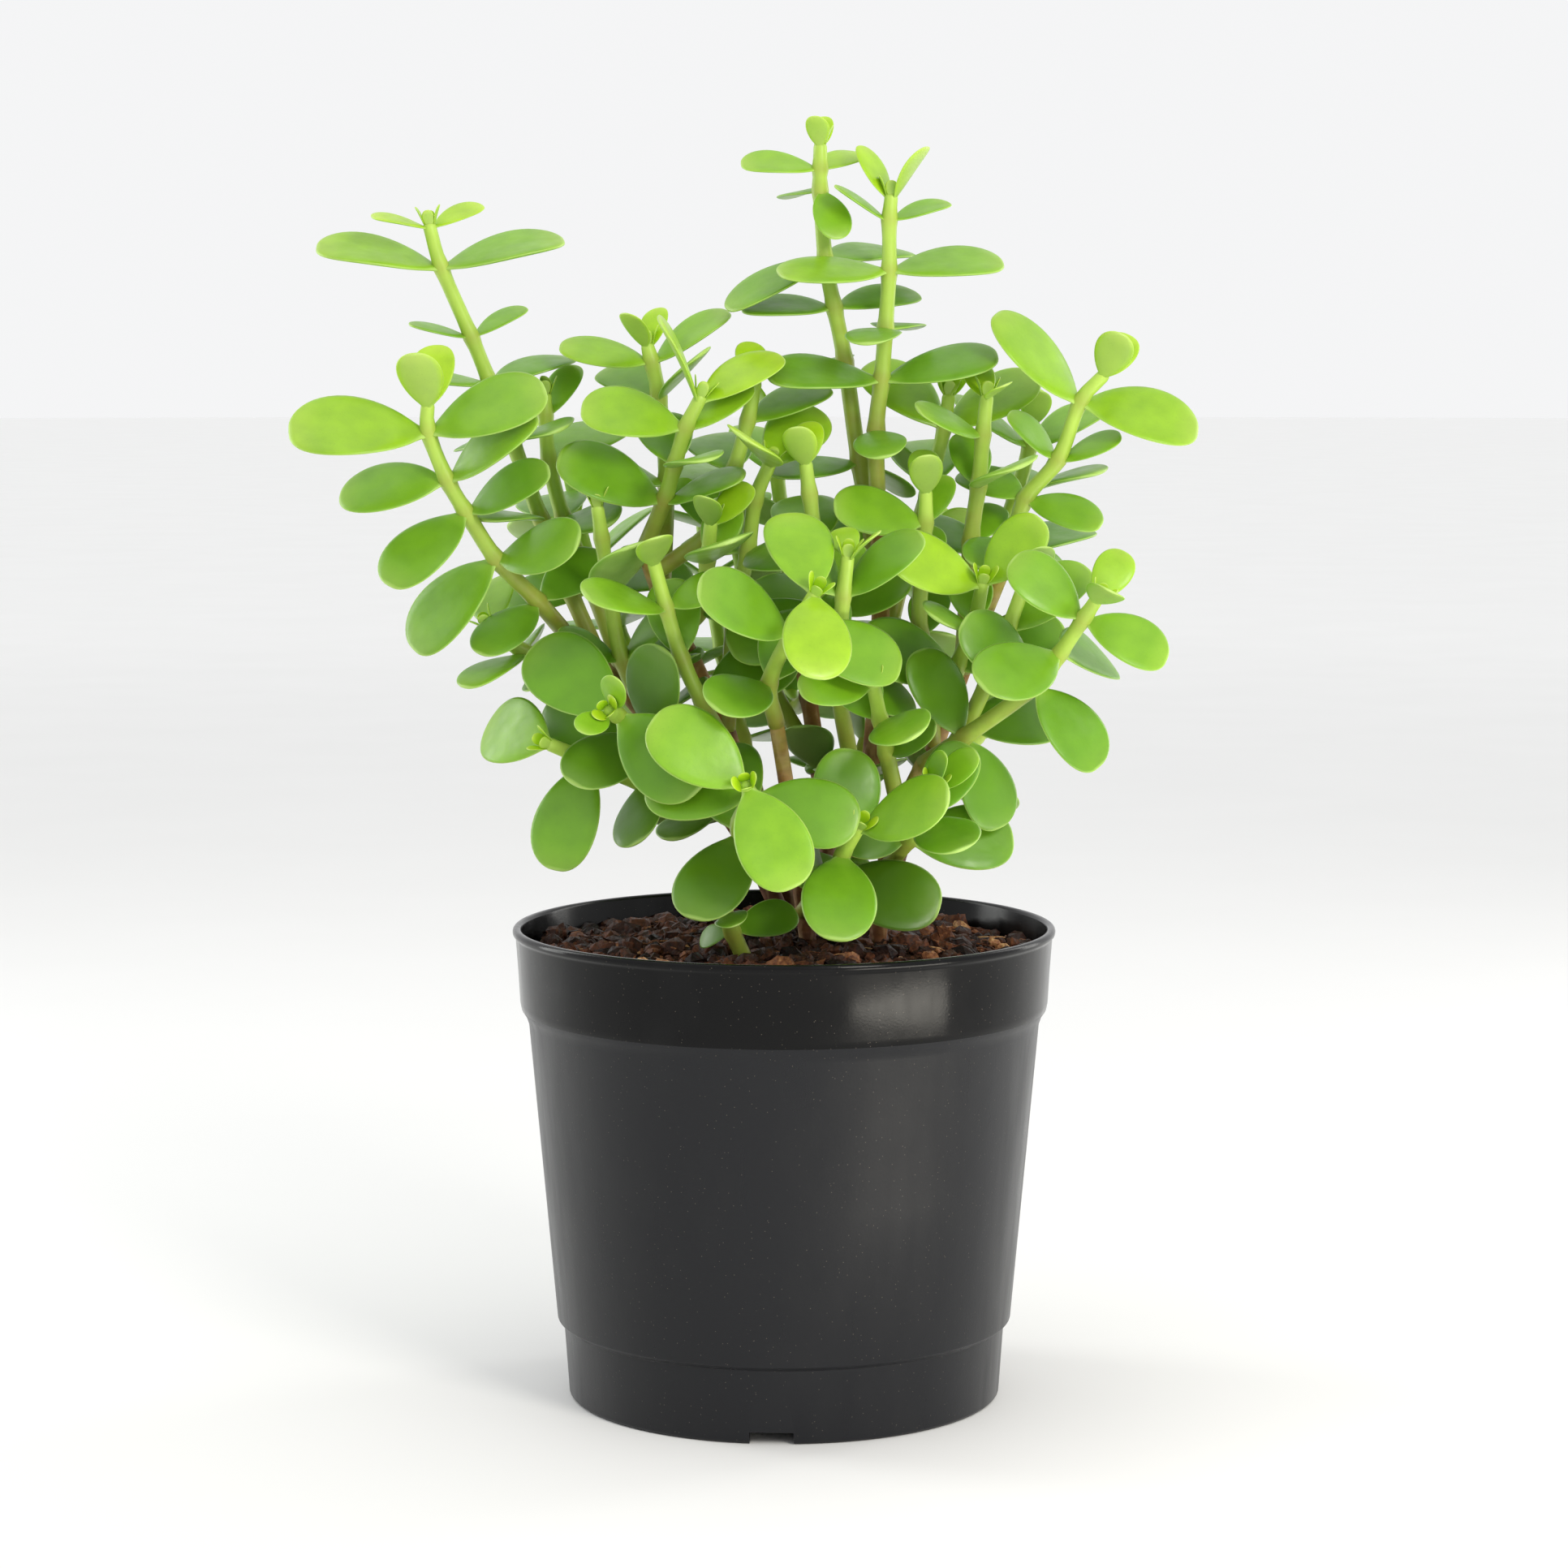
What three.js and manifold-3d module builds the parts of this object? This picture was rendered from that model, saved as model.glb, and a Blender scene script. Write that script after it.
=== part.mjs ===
// A small-leaved jade plant in a plastic nursery pot.
// Millimetres, +Z up, origin at the centre of the pot's base.
// The front of the plant, its fullest side, faces -Y.
import * as THREE from "three";
import { mergeVertices } from "three/addons/utils/BufferGeometryUtils.js";
import Module from "manifold-3d";

const wasm = await Module();
wasm.setup();

// ---- Pot: a six inch nursery pot ----
const POT_HEIGHT = 132.9;
const RIM_RADIUS = 76;
const LIP_HEIGHT = 2.4;
const LIP_OVERHANG = 0.8;
const LIP_SLOPE = 0.6;
const BAND_HEIGHT = 21.5;
const BAND_FOOT_RADIUS = 74;
const BAND_CHAMFER = 0.9;
const SHOULDER_HEIGHT = 5.4;
const WALL_TOP_RADIUS = 71.6;
const WALL_FOOT_RADIUS = 64;
const LEDGE_HEIGHT = 21;
const LEDGE_DEPTH = 1.8;
const LEDGE_SLOPE = 0.8;
const BASE_RADIUS = 60.8;
const BASE_CHAMFER = 0.8;
const WALL = 1.6;
const FOOT_WIDTH = 4;
const FOOT_HEIGHT = 3.5;
const FLOOR_TOP = 5.5;
const CENTRE_FOOT_RADIUS = 14;
const NOTCHES = 3;
const NOTCH_WIDTH = 12;
const NOTCH_TURN = THREE.MathUtils.degToRad(-93.2);
const DRAIN_HOLES = 6;
const DRAIN_HOLE_RADIUS = 4.5;
const DRAIN_CIRCLE_RADIUS = 34;
const DRAIN_HOLE_SEGMENTS = 12;
const POT_SEGMENTS = 36;

// ---- Soil ----
const SOIL_EDGE_HEIGHT = 124.6;
const SOIL_CENTRE_HEIGHT = 128;
const SOIL_SHOULDER_HEIGHT = 127.2;
const SOIL_GAP = 0.5;
const GAP = 0.3;

// ---- Stems and leaves ----
const STEM_SIDES = 5;
const GREEN_FOOT_RADIUS = 2.4;
const GREEN_TIP_RADIUS = 1.9;
const WOOD_TIP_SHARE = 0.8;
const WOOD_FACE = 0.3;
const LEAF_BREADTH = 0.76;
const LEAF_THICKNESS = 0.085;
const LEAF_BEND = 0.1;
const LEAF_CUP = 0.12;
const LEAF_FOOT = 1.2;
const WOOD_LEAF_FOOT = 0.6;
const FOOT_POWER = 0.68;
const TIP_POWER = 0.45;
const WIDEST = FOOT_POWER / (FOOT_POWER + TIP_POWER);
const PEAK = WIDEST ** FOOT_POWER * (1 - WIDEST) ** TIP_POWER;
const LEAF_SECTIONS = 4;
const BUD_RADIUS = 2.6;
const LEAF_GAP = 2.7;
const LEAF_RIM_GAP = 0.8;
const LEAF_REACH_SHARE = 0.56;
const STEM_GAP = 1.6;
const STEM_RIM_GAP = 0.5;
const STEM_STEP = 2.5;
const STEM_REACH = 4;
const OWN_STEM_REACH = 5.5;
const SOIL_CLEARANCE = 3;
const RIM_CLEARANCE = 1.6;
const RIM_INNER_MARGIN = 5;
const RIM_OUTER_MARGIN = 2;
const COLLAR_SIDES = 6;
const COLLAR_GAP = 0.4;
const COLLAR_WALL = 1.3;
const COLLAR_HEIGHT = 2.4;

const UP = new THREE.Vector3(0, 0, 1);
const AWAY = new THREE.Vector3(0, 1, 0);
const LIGHT = new THREE.Vector3(-0.1, -0.9, 0.4);

// Rise of a pair's leaves above square to the stem, in degrees, from the youngest pair down.
const RISE_BY_AGE = [60, 38, 24, 16, 9, 3, -2, -6];

// A leaf that meets a neighbour tries these in turn:
// degrees round the stem, degrees of rise, share of its size.
const GIVE_WAY = [
  [0, 0, 1],
  [0, 12, 1],
  [0, -12, 1],
  [15, 0, 1],
  [-15, 0, 1],
  [0, 24, 1],
  [0, -24, 1],
  [30, 0, 1],
  [-30, 0, 1],
  [15, 18, 0.9],
  [-15, 18, 0.9],
  [15, -18, 0.9],
  [-15, -18, 0.9],
  [0, 36, 0.85],
  [0, -34, 0.85],
  [45, 0, 0.85],
  [-45, 0, 0.85],
  [30, 30, 0.8],
  [-30, 30, 0.8],
  [0, 0, 0.7],
  [0, 25, 0.65],
  [0, -25, 0.65],
  [40, 20, 0.6],
  [-40, 20, 0.6],
  [0, 45, 0.5],
];

// A joint is [x, y, z, leaf length, turn, rise on the right, rise on the left]. The stem runs through its
// joints, and a pair of leaves grows at each joint that has a length. A joint without a turn takes a quarter
// turn from the last. "level" is how far the pairs level themselves to the horizon, and "face" how far the
// blades turn to the light.
const STEMS = [
  {
    name: "main_stem", radius: 3, level: 0.5,
    joints: [[15, 2, 104], [16, 2, 128], [20, 3, 150, 24, 40], [24, 3, 175, 26, 110], [26, 3, 200],
      [27, 2, 226], [26, 1, 250]],
  },
  {
    name: "left_stem", radius: 2.8, level: 0.4,
    joints: [[3, 6, 104], [2, 7, 126], [-8, 9, 150], [-18, 9, 166, 26, 60], [-28, 9, 178],
      [-38, 7, 190, 26, 150], [-48, 5, 202], [-62, 2, 216]],
  },
  {
    name: "right_stem", radius: 2.8, level: 0.4,
    joints: [[24, 6, 104], [26, 7, 128], [34, 9, 158], [40, 10, 175, 26, 60], [46, 10, 192], [54, 9, 214],
      [61, 6, 232]],
  },
  {
    name: "centre_stem", radius: 2.6, level: 0.4,
    joints: [[4, 14, 104], [4, 14, 128], [-2, 13, 146], [-9, 11, 166, 26, 30], [-16, 9, 186],
      [-26, 6, 208, 27, 120], [-34, 3, 224], [-39, 0, 238]],
  },
  {
    name: "front_stem", radius: 2.6, level: 0.2,
    joints: [[8, -6, 104], [7, -8, 126], [4, -14, 150], [2, -20, 166, 26, 40], [-2, -28, 192]],
  },
  {
    name: "low_right_stem", radius: 2.6, level: 0.2,
    joints: [[26, -5, 104], [26, -6, 126], [28, -10, 150], [32, -14, 166], [38, -18, 180]],
  },
  {
    name: "back_stem", radius: 2.8, level: 0.4,
    joints: [[14, 16, 104], [14, 18, 128], [12, 26, 156], [10, 31, 174, 26, 80], [7, 36, 194],
      [4, 40, 210, 26, 10], [2, 42, 225]],
  },
];

const SHOOTS = [
  {
    name: "tall_leader", stem: "main_stem", level: 0.6, face: 0.4,
    joints: [[26, 1, 250], [25.5, 0, 271, 22, 92, -30, -12], [27, 0, 285, 32, 2, -6, 4],
      [28, 0, 299, 23, 75, 10, -5], [29, 0, 315, 31, 4, 10, 0], [29, 0, 329, 17, 12, 20, 35],
      [29.5, 0, 335, 17, 150, 60, 60]],
  },
  {
    name: "twin_leader", stem: "main_stem", level: 0.6, face: 0.4,
    joints: [[27, 2, 226], [21, 9, 262, 26, 40], [17, 10, 290, 24, 110], [14, 9, 305, 25, 6],
      [11.5, 8, 318, 30, 10, 10, -18], [10, 6, 337, 19, 115, 0, -15], [10, 5, 343, 21, 5, 20, 8],
      [10, 5, 349, 10, 80, 65, 65]],
  },
  {
    name: "left_leader", stem: "left_stem", level: 0.6, face: 0.35,
    joints: [[-50, 5, 204], [-60, 9, 226], [-68, 11, 246, 28, 60], [-76, 11, 268, 28, 120],
      [-82, 10, 284, 26, 30], [-87, 8, 297, 17, 20], [-95, 6, 316, 34, 5, 8, 22],
      [-98, 5, 327, 16, 25, 22, 22]],
  },
  {
    name: "left_shoot", stem: "left_stem", level: 0.3, face: 0.6,
    joints: [[-62, 2, 216], [-68, -6, 224, 24, 40, 0, -20], [-79, -12, 236, 33, 10, 0, -40],
      [-87, -15, 249, 30, 32, 10, -12], [-92, -17, 258, 30, 170, 10, 10], [-97, -18, 271, 37, 10, -5, 15],
      [-97, -19, 278, 19, 80]],
  },
  {
    name: "right_leader", stem: "right_stem", level: 0.3, face: 0.6,
    joints: [[61, 6, 232], [64, 4, 240, 28, 20, -30, -10], [67, 3, 252, 22, 160, 5, 10],
      [76, 1, 263, 18, 0, 60, 30], [82, 0, 279, 33, 0, 10, 5], [88, -1, 286, 16, 80, 60, 60]],
  },
  {
    name: "right_shoot", stem: "low_right_stem", level: 0, face: 0.6,
    joints: [[38, -18, 180], [49, -24, 188, 26, -10, -10, 20], [68, -34, 203, 27, -10, 0, 10],
      [74, -40, 212, 29, 60, -10, -10], [80, -46, 222, 24, 0, 10, 15], [83, -49, 227, 16, 90, 50, 50]],
  },
  {
    name: "upper_left_shoot", stem: "centre_stem", level: 0.3, face: 0.6,
    joints: [[-39, 0, 238], [-33, -8, 252, 31, 10], [-30, -12, 262, 24, 110],
      [-27, -14, 272, 28, 5, 20, 0], [-23, -15, 280, 26, 30, 40, 50]],
  },
  {
    name: "small_upper_shoot", stem: "centre_stem", level: 0.6, face: 0.5,
    joints: [[-34, 3, 224], [-33, 14, 256, 29, 60], [-35, 12, 280, 24, 130], [-37, 11, 290, 25, 5, 20, 5],
      [-38, 11, 294, 13, 60]],
  },
  {
    name: "centre_front_shoot", stem: "front_stem", level: 0, face: 0.5,
    joints: [[-2, -28, 192], [-4, -36, 204, 26, 60], [2, -46, 218, 30, 20, 10, 20],
      [8, -54, 229, 28, 110, 10, 0]],
  },
  {
    name: "left_front_shoot", stem: "left_stem", level: 0, face: 0.6,
    joints: [[-27, 9, 177], [-38, -16, 188, 29, 10], [-45, -34, 195, 32, 95, 5, 5], [-47, -42, 197, 13, 10]],
  },
  {
    name: "low_front_shoot", stem: "front_stem", level: 0, face: 0.6,
    joints: [[4, -14, 150], [-12, -34, 163, 31, 50, 0, -5], [-9, -48, 174, 29, -8, -5, 0],
      [-10, -56, 178, 30, 100, 20, 0]],
  },
  {
    name: "drooping_shoot", stem: "front_stem", level: 0, face: 0.6,
    joints: [[5, -11, 138], [12, -26, 149, 31, 20], [16, -39, 158, 31, 100, 10, -10],
      [20, -47, 166, 29, 10]],
  },
  {
    name: "left_inner_shoot", stem: "left_stem", level: 0.5, face: 0.6,
    joints: [[-42, 6, 195], [-54, 17, 226, 31, 30], [-62, 17, 246, 31, 100], [-66, 16, 262, 31, 20],
      [-67, 16, 275, 29, 0], [-67, 16, 280, 13, 60]],
  },
  {
    name: "left_hanging_shoot", stem: "left_stem", level: 0, face: 0.6,
    joints: [[-21, 9, 170], [-40, -7, 174, 26, 60], [-54, -16, 181, 31, 20, 10, -20],
      [-64, -23, 186, 30, 100, 10, -20]],
  },
  {
    name: "left_low_shoot", stem: "left_stem", level: 0.2, face: 0.6,
    joints: [[-55, 4, 209], [-63, -4, 208, 29, 20], [-72, -5, 210, 29, 80, 0, 0],
      [-81, -7, 217, 26, 20, 20, 0]],
  },
  {
    name: "centre_inner_shoot", stem: "centre_stem", level: 0.2, face: 0.75,
    joints: [[-16, 9, 186], [-14, 0, 218, 31, 40], [-10, -4, 238, 30, 120], [-8, -6, 252, 29, 20],
      [-4, -8, 262, 26, 70, 40, 30]],
  },
  {
    name: "right_upper_shoot", stem: "main_stem", level: 0.5, face: 0.7,
    joints: [[26, 3, 200], [34, 14, 232, 31, 30], [41, 14, 256, 31, 110], [45, 13, 272, 29, 10],
      [46, 13, 280, 13, 70]],
  },
  {
    name: "right_front_shoot", stem: "right_stem", level: 0.1, face: 0.7,
    joints: [[46, 10, 192], [48, -6, 206, 31, 20], [52, -16, 218, 29, 100], [54, -24, 230, 29, 10, 20, 10]],
  },
  {
    name: "inner_front_shoot", stem: "low_right_stem", level: 0, face: 0.7,
    joints: [[32, -14, 166], [28, -26, 184, 29, 20], [26, -36, 194, 26, 110], [24, -44, 204, 24, 10]],
  },
  {
    name: "right_low_shoot", stem: "low_right_stem", level: 0, face: 0.7,
    joints: [[28, -10, 150], [34, -26, 160, 29, 30], [38, -36, 168, 26, 120], [40, -42, 176, 15, 30]],
  },
  {
    name: "soil_sprig", level: 0, face: 0.5,
    joints: [[-10, -30, 126], [-14, -36, 136, 18, 10, -10, -30], [-16, -40, 142, 14, 100],
      [-17, -42, 146, 8, 10]],
  },
  {
    name: "right_back_shoot", stem: "right_stem", level: 0.5, face: 0.5,
    joints: [[54, 9, 214], [60, 24, 236, 31, 20], [66, 30, 252, 31, 100], [70, 32, 266, 26, 20],
      [71, 32, 272, 13, 90]],
  },
  {
    name: "back_left_shoot", stem: "left_stem", level: 0.4, face: 0,
    joints: [[-28, 9, 178], [-38, 26, 196, 28, 30], [-48, 38, 214, 28], [-56, 46, 232, 26],
      [-60, 50, 246, 20]],
  },
  {
    name: "back_centre_left_shoot", stem: "centre_stem", level: 0.4, face: 0,
    joints: [[-2, 13, 146], [-12, 36, 182, 28, 10], [-18, 48, 206, 28], [-22, 56, 228, 26],
      [-24, 60, 244, 20]],
  },
  {
    name: "back_centre_shoot", stem: "back_stem", level: 0.5, face: 0,
    joints: [[2, 42, 225], [0, 46, 242, 28, 20], [-2, 48, 258, 26], [-2, 48, 272, 18]],
  },
  {
    name: "back_right_shoot", stem: "back_stem", level: 0.4, face: 0,
    joints: [[12, 26, 156], [24, 44, 180, 28, 20], [34, 54, 200, 28], [42, 60, 218, 26], [46, 62, 232, 20]],
  },
  {
    name: "back_low_right_shoot", stem: "right_stem", level: 0.3, face: 0,
    joints: [[34, 9, 158], [44, 28, 170, 26, 20], [56, 42, 182, 26], [64, 52, 194, 22]],
  },
  {
    name: "back_low_left_shoot", stem: "left_stem", level: 0.3, face: 0,
    joints: [[-8, 9, 150], [-16, 30, 160, 26, 30], [-27, 46, 170, 26], [-36, 56, 180, 22]],
  },
  {
    name: "back_low_shoot", stem: "back_stem", level: 0.3, face: 0,
    joints: [[7, 36, 194], [4, 52, 190, 26, 20], [2, 64, 192, 24], [0, 72, 198, 18]],
  },
  {
    name: "left_mid_shoot", stem: "left_stem", level: 0.4, face: 0.7,
    joints: [[-38, 7, 190], [-45, -4, 208, 30, 20], [-48, -10, 226, 30, 110], [-50, -14, 242, 26, 30],
      [-51, -16, 250, 14, 80]],
  },
  {
    name: "centre_left_shoot", stem: "centre_stem", level: 0.3, face: 0.75,
    joints: [[-29.5, 4.8, 215], [-23, -8, 222, 30, 10], [-21, -16, 236, 29, 100], [-20, -20, 246, 15, 30]],
  },
  {
    name: "centre_upper_shoot", stem: "main_stem", level: 0.3, face: 0.75,
    joints: [[26, 3, 200], [13, -6, 222, 30, 20], [9, -10, 240, 29, 110], [7, -12, 254, 26, 20],
      [6, -13, 262, 14, 80]],
  },
  {
    name: "right_mid_shoot", stem: "right_stem", level: 0.4, face: 0.75,
    joints: [[42.6, 10, 182], [38, 0, 214, 30, 30], [38, -6, 232, 29, 120], [39, -8, 246, 26, 20],
      [39, -9, 254, 14, 90]],
  },
  {
    name: "back_inner_shoot", stem: "back_stem", level: 0.4, face: 0.1,
    joints: [[10, 31, 174], [-4, 40, 198, 27, 20], [-10, 45, 220, 27, 110], [-14, 48, 240, 25, 20],
      [-16, 49, 252, 18, 100]],
  },
  {
    name: "front_left_shoot", stem: "centre_stem", level: 0.2, face: 0.65,
    joints: [[-12.5, 10, 176], [-22, -16, 196, 29, 20], [-28, -24, 210, 28, 110], [-32, -30, 224, 27, 10],
      [-35, -34, 236, 16, 100]],
  },
  {
    name: "front_centre_shoot", stem: "main_stem", level: 0.2, face: 0.7,
    joints: [[22, 3, 162], [15, -24, 200, 28, 20], [15, -32, 214, 28, 110], [16, -38, 228, 26, 10],
      [17, -42, 238, 15, 100]],
  },
  {
    name: "front_right_shoot", stem: "right_stem", level: 0.2, face: 0.65,
    joints: [[37, 9.5, 166], [50, -12, 190, 28, 30], [56, -20, 204, 29, 120], [61, -26, 218, 27, 30],
      [65, -30, 230, 15, 110]],
  },
  {
    name: "upper_centre_shoot", stem: "centre_stem", level: 0.4, face: 0.6,
    joints: [[-36.5, 1.5, 231], [-20, -2, 244, 28, 20], [-14, -3, 260, 28, 110], [-10, -3, 274, 25, 20],
      [-8, -3, 284, 14, 110]],
  },
  {
    name: "upper_right_shoot", stem: "right_stem", level: 0.4, face: 0.6,
    joints: [[50, 9.5, 203], [52, 2, 240, 29, 20], [54, 0, 256, 28, 110], [55, -2, 270, 25, 20],
      [56, -2, 280, 14, 110]],
  },
];

// ---- Growth ----

const mix = (a, b, share) => a.clone().multiplyScalar(1 - share).addScaledVector(b, share);

const squareTo = (v, direction) => v.addScaledVector(direction, -v.dot(direction)).normalize();

// Half the blade's width at a share s of its length, as a share of the widest half.
function outline(s) {
  const share = Math.min(Math.max(s, 0), 1);
  return (share ** FOOT_POWER * (1 - share) ** TIP_POWER) / PEAK;
}

// A point of the blade's middle surface: s along its length, u from edge to edge as -1 to 1.
function onLeaf(leaf, s, u) {
  const half = 0.5 * leaf.width * outline(s);
  return leaf.base.clone()
    .addScaledVector(leaf.along, s * leaf.length)
    .addScaledVector(leaf.across, u * half)
    .addScaledVector(leaf.normal, LEAF_CUP * half * u * u - LEAF_BEND * leaf.length * s * s);
}

function sampleLeaf(leaf) {
  const points = [];
  for (const s of [0.12, 0.26, 0.4, 0.54, 0.68, 0.82, 0.97])
    for (const u of [-1, -0.5, 0, 0.5, 1]) points.push(onLeaf(leaf, s, u));
  return points;
}

// The directions at each joint: along the stem, then sideways and backwards square to it.
function jointFrames(plan) {
  const points = plan.joints.map((joint) => new THREE.Vector3(...joint.slice(0, 3)));
  const last = points.length - 1;
  return points.map((point, i) => {
    const next = points[Math.min(last, i + 1)];
    const tangent = next.clone().sub(points[Math.max(0, i - 1)]).normalize();
    const axis = mix(tangent, UP, plan.level).normalize();
    const right = AWAY.clone().cross(axis).normalize();
    return { point, tangent, axis, right, back: axis.clone().cross(right) };
  });
}

function makeLeaf(frame, plan, turn, rise, side, length) {
  const a = THREE.MathUtils.degToRad(turn);
  const r = THREE.MathUtils.degToRad(rise);
  const out = frame.right.clone().multiplyScalar(side * Math.cos(a))
    .addScaledVector(frame.back, side * Math.sin(a));
  const along = out.clone().multiplyScalar(Math.cos(r)).addScaledVector(frame.axis, Math.sin(r)).normalize();
  const normal = squareTo(mix(frame.axis, LIGHT, (plan.face ?? WOOD_FACE) * Math.cos(r) ** 2), along);
  const leaf = { along, normal, across: along.clone().cross(normal), length, width: LEAF_BREADTH * length };
  const foot = plan.radius ? plan.radius + WOOD_LEAF_FOOT : LEAF_FOOT;
  leaf.base = frame.point.clone().addScaledVector(out, foot);
  leaf.middle = onLeaf(leaf, 0.5, 0);
  leaf.samples = sampleLeaf(leaf);
  return leaf;
}

// Whether a point lies in a slab of the given half thickness round the blade.
function touchesBlade(leaf, point, halfThickness, rim) {
  const r = point.clone().sub(leaf.base);
  const s = r.dot(leaf.along) / leaf.length;
  if (s < 0.02 || s > 1.03) return false;
  const half = 0.5 * leaf.width * outline(s);
  const sideways = Math.abs(r.dot(leaf.across));
  if (sideways > half + rim) return false;
  const lift = LEAF_BEND * leaf.length * s * s - (LEAF_CUP * sideways * sideways) / Math.max(half, 1);
  return Math.abs(r.dot(leaf.normal) + lift) < halfThickness;
}

function leavesMeet(a, b) {
  if (a.middle.distanceTo(b.middle) > LEAF_REACH_SHARE * (a.length + b.length)) return false;
  return a.samples.some((p) => touchesBlade(b, p, LEAF_GAP, LEAF_RIM_GAP)) ||
    b.samples.some((p) => touchesBlade(a, p, LEAF_GAP, LEAF_RIM_GAP));
}

// Points every few millimetres along each stem, for the leaves to keep clear of.
function stemPoints(plan) {
  const points = [];
  const joints = jointFrames(plan).map((frame) => frame.point);
  for (let i = 1; i < joints.length; i++) {
    const count = Math.max(1, Math.floor(joints[i].distanceTo(joints[i - 1]) / STEM_STEP));
    for (let k = 0; k <= count; k++)
      points.push({ point: mix(joints[i - 1], joints[i], k / count), radius: plan.radius ?? GREEN_FOOT_RADIUS,
        name: plan.name });
  }
  return points;
}

function meetsPot(point) {
  const r = Math.hypot(point.x, point.y);
  if (r < RIM_RADIUS - RIM_INNER_MARGIN) return point.z < SOIL_CENTRE_HEIGHT + SOIL_CLEARANCE;
  return r < RIM_RADIUS + RIM_OUTER_MARGIN && point.z < POT_HEIGHT + RIM_CLEARANCE;
}

function isClear(leaf, leaves, stems, ownStem) {
  if (leaf.samples.some(meetsPot)) return false;
  if (leaves.some((other) => leavesMeet(leaf, other))) return false;
  return !stems.some(({ point, radius, name }) => {
    if (point.distanceTo(leaf.middle) > 0.5 * leaf.length + STEM_REACH) return false;
    if (name === ownStem && point.distanceTo(leaf.base) < OWN_STEM_REACH) return false;
    return touchesBlade(leaf, point, radius + STEM_GAP, radius + STEM_RIM_GAP);
  });
}

// Grows every pair in turn. Each leaf takes the first place that is clear, or isn't grown.
function growLeaves(plans) {
  const stems = plans.flatMap(stemPoints);
  const leaves = [];
  for (const plan of plans) {
    const frames = jointFrames(plan);
    let turn = 0;
    plan.joints.forEach((joint, i) => {
      const [, , , length, ownTurn, riseRight, riseLeft] = joint;
      if (!length) return;
      turn = ownTurn ?? turn + 90;
      const age = Math.min(frames.length - 1 - i, RISE_BY_AGE.length - 1);
      const rise = plan.radius ? 0 : RISE_BY_AGE[age];
      for (const side of [1, -1]) {
        const sideRise = (side === 1 ? riseRight : riseLeft) ?? rise;
        const places = GIVE_WAY.map(([t, r, size]) => () =>
          makeLeaf(frames[i], plan, turn + t, sideRise + r, side, length * size));
        for (const place of places) {
          const leaf = place();
          if (!isClear(leaf, leaves, stems, plan.name)) continue;
          leaves.push(Object.assign(leaf, { plan: plan.name, joint: i }));
          break;
        }
      }
    });
  }
  return leaves;
}

// ---- Solids ----

function toSolid(geometry) {
  const bare = geometry.clone();
  bare.deleteAttribute("normal");
  bare.deleteAttribute("uv");
  const merged = mergeVertices(bare, 1e-4);
  return new wasm.Manifold(new wasm.Mesh({
    numProp: 3,
    vertProperties: merged.attributes.position.array,
    triVerts: new Uint32Array(merged.index.array),
  }));
}

function toGeometry(solid) {
  const { vertProperties, triVerts } = solid.getMesh();
  const geometry = new THREE.BufferGeometry();
  geometry.setAttribute("position", new THREE.BufferAttribute(vertProperties, 3));
  geometry.setIndex(new THREE.BufferAttribute(triVerts, 1));
  geometry.computeVertexNormals();
  return geometry;
}

const join = (solids) => solids.reduce((all, solid) => all.add(solid));

const largestBody = (solid) => solid.decompose().reduce((a, b) => (b.volume() > a.volume() ? b : a));

// A round tube along a smooth curve through the points, tapering from foot to tip.
function tube(points, footRadius, tipRadius) {
  const path = new THREE.CatmullRomCurve3(points);
  const steps = 2 * (points.length - 1);
  const section = new THREE.Shape(Array.from({ length: STEM_SIDES }, (_, i) => {
    const a = (2 * Math.PI * i) / STEM_SIDES;
    return new THREE.Vector2(Math.cos(a), Math.sin(a));
  }));
  const geometry = new THREE.ExtrudeGeometry(section, { steps, extrudePath: path });
  const centres = path.getSpacedPoints(steps);
  const position = geometry.attributes.position;
  const v = new THREE.Vector3();
  for (let i = 0; i < position.count; i++) {
    v.fromBufferAttribute(position, i);
    const distances = centres.map((centre) => centre.distanceTo(v));
    const k = distances.indexOf(Math.min(...distances));
    v.sub(centres[k]).multiplyScalar(THREE.MathUtils.lerp(footRadius, tipRadius, k / steps)).add(centres[k]);
    position.setXYZ(i, v.x, v.y, v.z);
  }
  return toSolid(geometry);
}

// The bud at a shoot's tip, which holds the feet of the youngest leaves.
function budSolid(point) {
  const geometry = new THREE.IcosahedronGeometry(BUD_RADIUS, 0);
  geometry.translate(point.x, point.y, point.z);
  return toSolid(geometry);
}

// One leaf: a sphere drawn out along the blade and pressed flat, with its poles at the foot and the tip.
function leafSolid(leaf) {
  const geometry = new THREE.SphereGeometry(1, 4, LEAF_SECTIONS);
  const position = geometry.attributes.position;
  for (let i = 0; i < position.count; i++) {
    const ring = Math.hypot(position.getX(i), position.getZ(i)) || 1;
    const s = 0.5 - 0.5 * position.getY(i);
    const u = -position.getX(i) / ring;
    const thickness = 0.5 * LEAF_THICKNESS * leaf.length * Math.sqrt(outline(s));
    const v = onLeaf(leaf, s, u).addScaledVector(leaf.normal, (thickness * position.getZ(i)) / ring);
    position.setXYZ(i, v.x, v.y, v.z);
  }
  return toSolid(geometry);
}

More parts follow.
